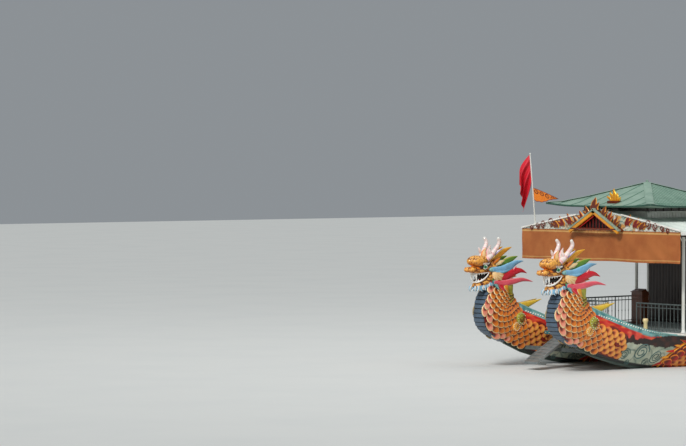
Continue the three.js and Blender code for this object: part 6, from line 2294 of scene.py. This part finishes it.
@dataclass
class Cloths:
    """The blank banner across the roof, and the flagpole with its limp red flag and orange pennant."""

    foot: Vector = field(default_factory=lambda: Vector((4.57, -2.64, slope_z(2.64))))
    lean: float = math.radians(6)

    def pole_point(self, height: float) -> Vector:
        """A point of the pole's axis, by its height above the roof along the pole."""
        return self.foot + Vector((math.sin(self.lean), 0, math.cos(self.lean))) * height

    def banner(self) -> None:
        """Hangs the banner across the roof's front, slightly creased and blank, with pale border lines."""
        half, top, bottom = 3.028, 3.718, 2.874
        columns, rows = 220, 40

        def sag(y: float, v: float) -> float:
            """Shallow creases that fan from the lashings and a slack fold at the lower port corner."""
            pull = 0.004 * math.sin(9.0 * y + 5 * v) + 0.003 * math.sin(4.1 * y - 9 * v + 1.2)
            corner = math.exp(-((y - 2.3) / 0.7) ** 2) * ramp(1 - v, 0.35, 1.0)
            return pull + 0.012 * corner * math.sin(11 * (y + 0.9 * v))

        def place(u: float, v: float) -> Vector:
            """Point on the cloth, u across the boat and v up."""
            y = -half + 2 * half * u
            z = bottom + (top - bottom) * v + 0.008 * (1 - v) * math.sin(3 * y)
            return Vector((4.7135 + sag(y, v), y, z))

        def paint(u: float, v: float) -> Colour:
            """Orange-brown cloth with two pale lines along each edge."""
            edge = min(v, 1 - v)
            return mix(BANNER_BROWN, BANNER_LINE, 0.75 if 0.05 < edge < 0.08 else 0.0)

        carving = Carving()
        carving.bend(columns, rows, place, paint)
        mesh = carving.mesh("banner_cloth", 180)
        cloth = show("banner_cloth", mesh, [BANNER_WEAVE], ["banner"])
        lashing = Carving()
        for index in range(15):
            y = -2.95 + index * 5.9 / 14
            for z in (3.70, 2.90):
                seat = Matrix.Translation((4.716, y, z)) @ Matrix.Rotation(math.pi / 2, 4, "Y")
                lashing.turned(((0.006, 0.0), (0.015, 0.001), (0.015, 0.003), (0.006, 0.005)), seat, steps=12)
        show("banner_eyelets", lashing.mesh("banner_eyelets"), [BRASS])

    def pole(self) -> None:
        """Stands the tapered pole in its socket, with a turned truck at its top."""
        carving = Carving()
        length = 2.076
        taper = ((-0.01, 0.024), (0.4, 0.021), (1.2, 0.018), (length - 0.03, 0.014))
        spine = [(*self.pole_point(height), radius, radius) for height, radius in taper]
        carving.sweep(spine, TO_PORT, Hue.WHITE, rings=30, around=14)
        seat = frame_at(self.pole_point(0), TO_PORT, self.pole_point(1) - self.pole_point(0))
        socket = ((0.060, -0.008), (0.060, 0.012), (0.040, 0.020), (0.032, 0.085), (0.026, 0.090))
        carving.turned(socket, seat, steps=24)
        top = Matrix.Translation(self.pole_point(length - 0.045) - self.pole_point(0)) @ seat
        truck = ((0.014, 0.0), (0.026, 0.006), (0.026, 0.018), (0.012, 0.026), (0.020, 0.036), (0.0, 0.044))
        carving.turned(truck, top, steps=16)
        show("flagpole_turned", carving.mesh("flagpole_turned"), [WHITE_ENAMEL], ["flagpole"])

    def flag(self) -> None:
        """Lets the red flag hang limp from its hoist in deep folds."""
        hoist_low, hoist_high, fly, drop = 1.23, 2.02, 1.14, 0.84
        columns, rows = 56, 40
        out = Vector((math.cos(math.radians(-45)), math.sin(math.radians(-45)), 0))
        across = Vector((-out.y, out.x, 0))

        def place(u: float, v: float) -> Vector:
            """Point on the flag: u from the hoist to the fly, v up the hoist."""
            hoist = self.pole_point(hoist_low + (hoist_high - hoist_low) * v)
            low_edge = 0.24 * u ** 1.3
            high_edge = 0.30 * math.sin(math.pi / 2 * min(1.7 * u, 1.0)) - 0.04 * u
            spread = 0.020 + low_edge + (high_edge - low_edge) * v
            deep = 0.012 + 0.105 * math.sin(math.pi / 2 * u)
            phase = 5.4 * math.pi * v + 1.3 * u
            fold = deep * math.sin(phase)
            gather = 0.25 * deep * math.cos(phase) * u
            return hoist + out * (spread + gather) + across * fold - Vector((0, 0, drop * u))

        carving = Carving()
        carving.bend(columns, rows, place, Hue.CRIMSON)
        cloth = show("flag_cloth", carving.mesh("flag_cloth", 180), [FLAG_RED], ["flag"])

    def pennant(self) -> None:
        """Flies the orange pennant, with its lobed lower edge and a row of dark curls."""
        low, high, fly, lobe, cut_area = 0.74, 1.08, 0.69, 0.07, 0.158
        columns, rows = 84, 30
        out = Vector((math.cos(math.radians(135)), math.sin(math.radians(135)), 0))
        across = Vector((-out.y, out.x, 0))

        def span(u: float) -> tuple[float, float]:
            """The lower and upper edge's height at u along the fly."""
            top = high - 0.31 * u ** 1.15
            belly = 0.055 * math.sin(math.pi * min(u / 0.62, 1.0))
            bottom = low - belly - 0.028 * abs(math.sin(5 * math.pi * u)) * (1 - u)
            return min(bottom + 0.06 * max(u - 0.6, 0), top - 0.004), top

        def place(u: float, v: float) -> Vector:
            """Point on the pennant: u from the pole out and v up."""
            bottom, top = span(u)
            wave = 0.022 * math.sin(9 * u + 1.5 * v) * ramp(u, 0, 0.25)
            root = self.pole_point(bottom + (top - bottom) * v)
            return root + out * (0.019 + fly * u) + across * wave

        def paint(u: float, v: float) -> Colour:
            """Orange with a maroon border and a row of brown curls under the upper edge."""
            bottom, top = span(u)
            edge = min(v, 1 - v) * (top - bottom)
            curl = math.hypot((fly * u) % 0.15 - 0.075, (1 - v) * (top - bottom) - 0.085)
            if edge < 0.016 or u > 0.985:
                return Hue.MAROON.value
            return Hue.BROWN.value if curl < 0.014 or 0.036 < curl < 0.060 else Hue.ORANGE.value

        carving = Carving()
        carving.bend(columns, rows, place, paint)
        mesh = carving.mesh("pennant_cloth", 180)
        cloth = show("pennant_cloth", mesh, [PENNANT_CLOTH], ["pennant"])

    def build(self) -> None:
        """Makes the pole and the cloths."""
        self.pole()
        self.banner()
        self.flag()
        self.pennant()


@dataclass(frozen=True)
class Studio:
    """The floor, the soft lights and the camera at the photograph's viewing angle."""

    image_width: int = 686
    image_height: int = 446
    focal_pixels: float = 2727.0
    horizon_row: float = 160.0
    azimuth: float = math.radians(139.74)
    location: tuple[float, float, float] = (58.52, 52.65, 5.65)
    sensor: float = 36.0

    def camera(self) -> None:
        """Points the camera as the photograph's was, level with its horizon row."""
        tilt = math.atan((self.image_height / 2 - self.horizon_row) / self.focal_pixels)
        back = Vector((math.sin(self.azimuth) * math.cos(tilt), -math.cos(self.azimuth) * math.cos(tilt),
                       math.sin(tilt)))
        right = Vector((math.cos(self.azimuth), math.sin(self.azimuth), 0))
        data = bpy.data.cameras.new("camera")
        data.sensor_width = self.sensor
        data.lens = self.focal_pixels * self.sensor / self.image_width
        data.clip_end = 500
        camera = bpy.data.objects.new("camera", data)
        bpy.context.scene.collection.objects.link(camera)
        matrix = Matrix((right, back.cross(right), back)).transposed().to_4x4()
        matrix.translation = self.location
        camera.matrix_world = matrix
        bpy.context.scene.camera = camera

    def floor(self) -> None:
        """Lays a pale floor at the waterline."""
        bm = bmesh.new()
        bmesh.ops.create_grid(bm, x_segments=1, y_segments=1, size=150)
        mesh = bpy.data.meshes.new("floor")
        bm.to_mesh(mesh)
        bm.free()
        floor = bpy.data.objects.new("floor", mesh)
        bpy.context.scene.collection.objects.link(floor)
        mesh.materials.append(FLOOR.material())

    def light(self, name: str, size: float, energy: float, place: Sequence[float], target: Vector) -> None:
        """Hangs one soft light.

        Args:
            name: the light's name.
            size: its width in metres.
            energy: its power in watts.
            place: where it hangs.
            target: what it points at.
        """
        data = bpy.data.lights.new(name, "AREA")
        data.shape = "DISK"
        data.size = size
        data.energy = energy
        lamp = bpy.data.objects.new(name, data)
        bpy.context.scene.collection.objects.link(lamp)
        lamp.location = place
        lamp.rotation_euler = (target - Vector(place)).to_track_quat("-Z", "Y").to_euler()

    def build(self) -> None:
        """Sets the stage up."""
        bpy.context.scene.view_settings.view_transform = "Standard"
        self.camera()
        self.floor()
        self.light("sky_light", 34, 3000, (4, 4, 28), Vector((2, 0, 1.5)))
        sun = bpy.data.lights.new("key_light", "SUN")
        sun.energy = 2.3
        sun.angle = math.radians(14)
        key = bpy.data.objects.new("key_light", sun)
        bpy.context.scene.collection.objects.link(key)
        key.rotation_euler = Vector((-0.86, -0.42, -0.80)).to_track_quat("-Z", "Y").to_euler()
        world = bpy.data.worlds.new("studio")
        bpy.context.scene.world = world
        world.use_nodes = True
        world.node_tree.nodes["Background"].inputs["Color"].default_value = linear("C9D0D6")
        world.node_tree.nodes["Background"].inputs["Strength"].default_value = 0.45


# Pale studio floor: matt paint, even, so that the boat's own colours carry the picture.
FLOOR = Finish("pale_floor_paint", "D9DAD6", "D2D4D1", roughness=0.7, patch_size=3, patch_share=0.5)


def main() -> None:
    """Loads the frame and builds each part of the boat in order."""
    logging.basicConfig(level=logging.INFO, format="%(message)s")
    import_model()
    makers = (Studio, DragonHull, DragonHead, DeckWork, Cabin, RunningGear, MainRoof, UpperRoof, Gable,
              Cloths)
    for maker in makers:
        maker().build()


if __name__ == "__main__":
    main()
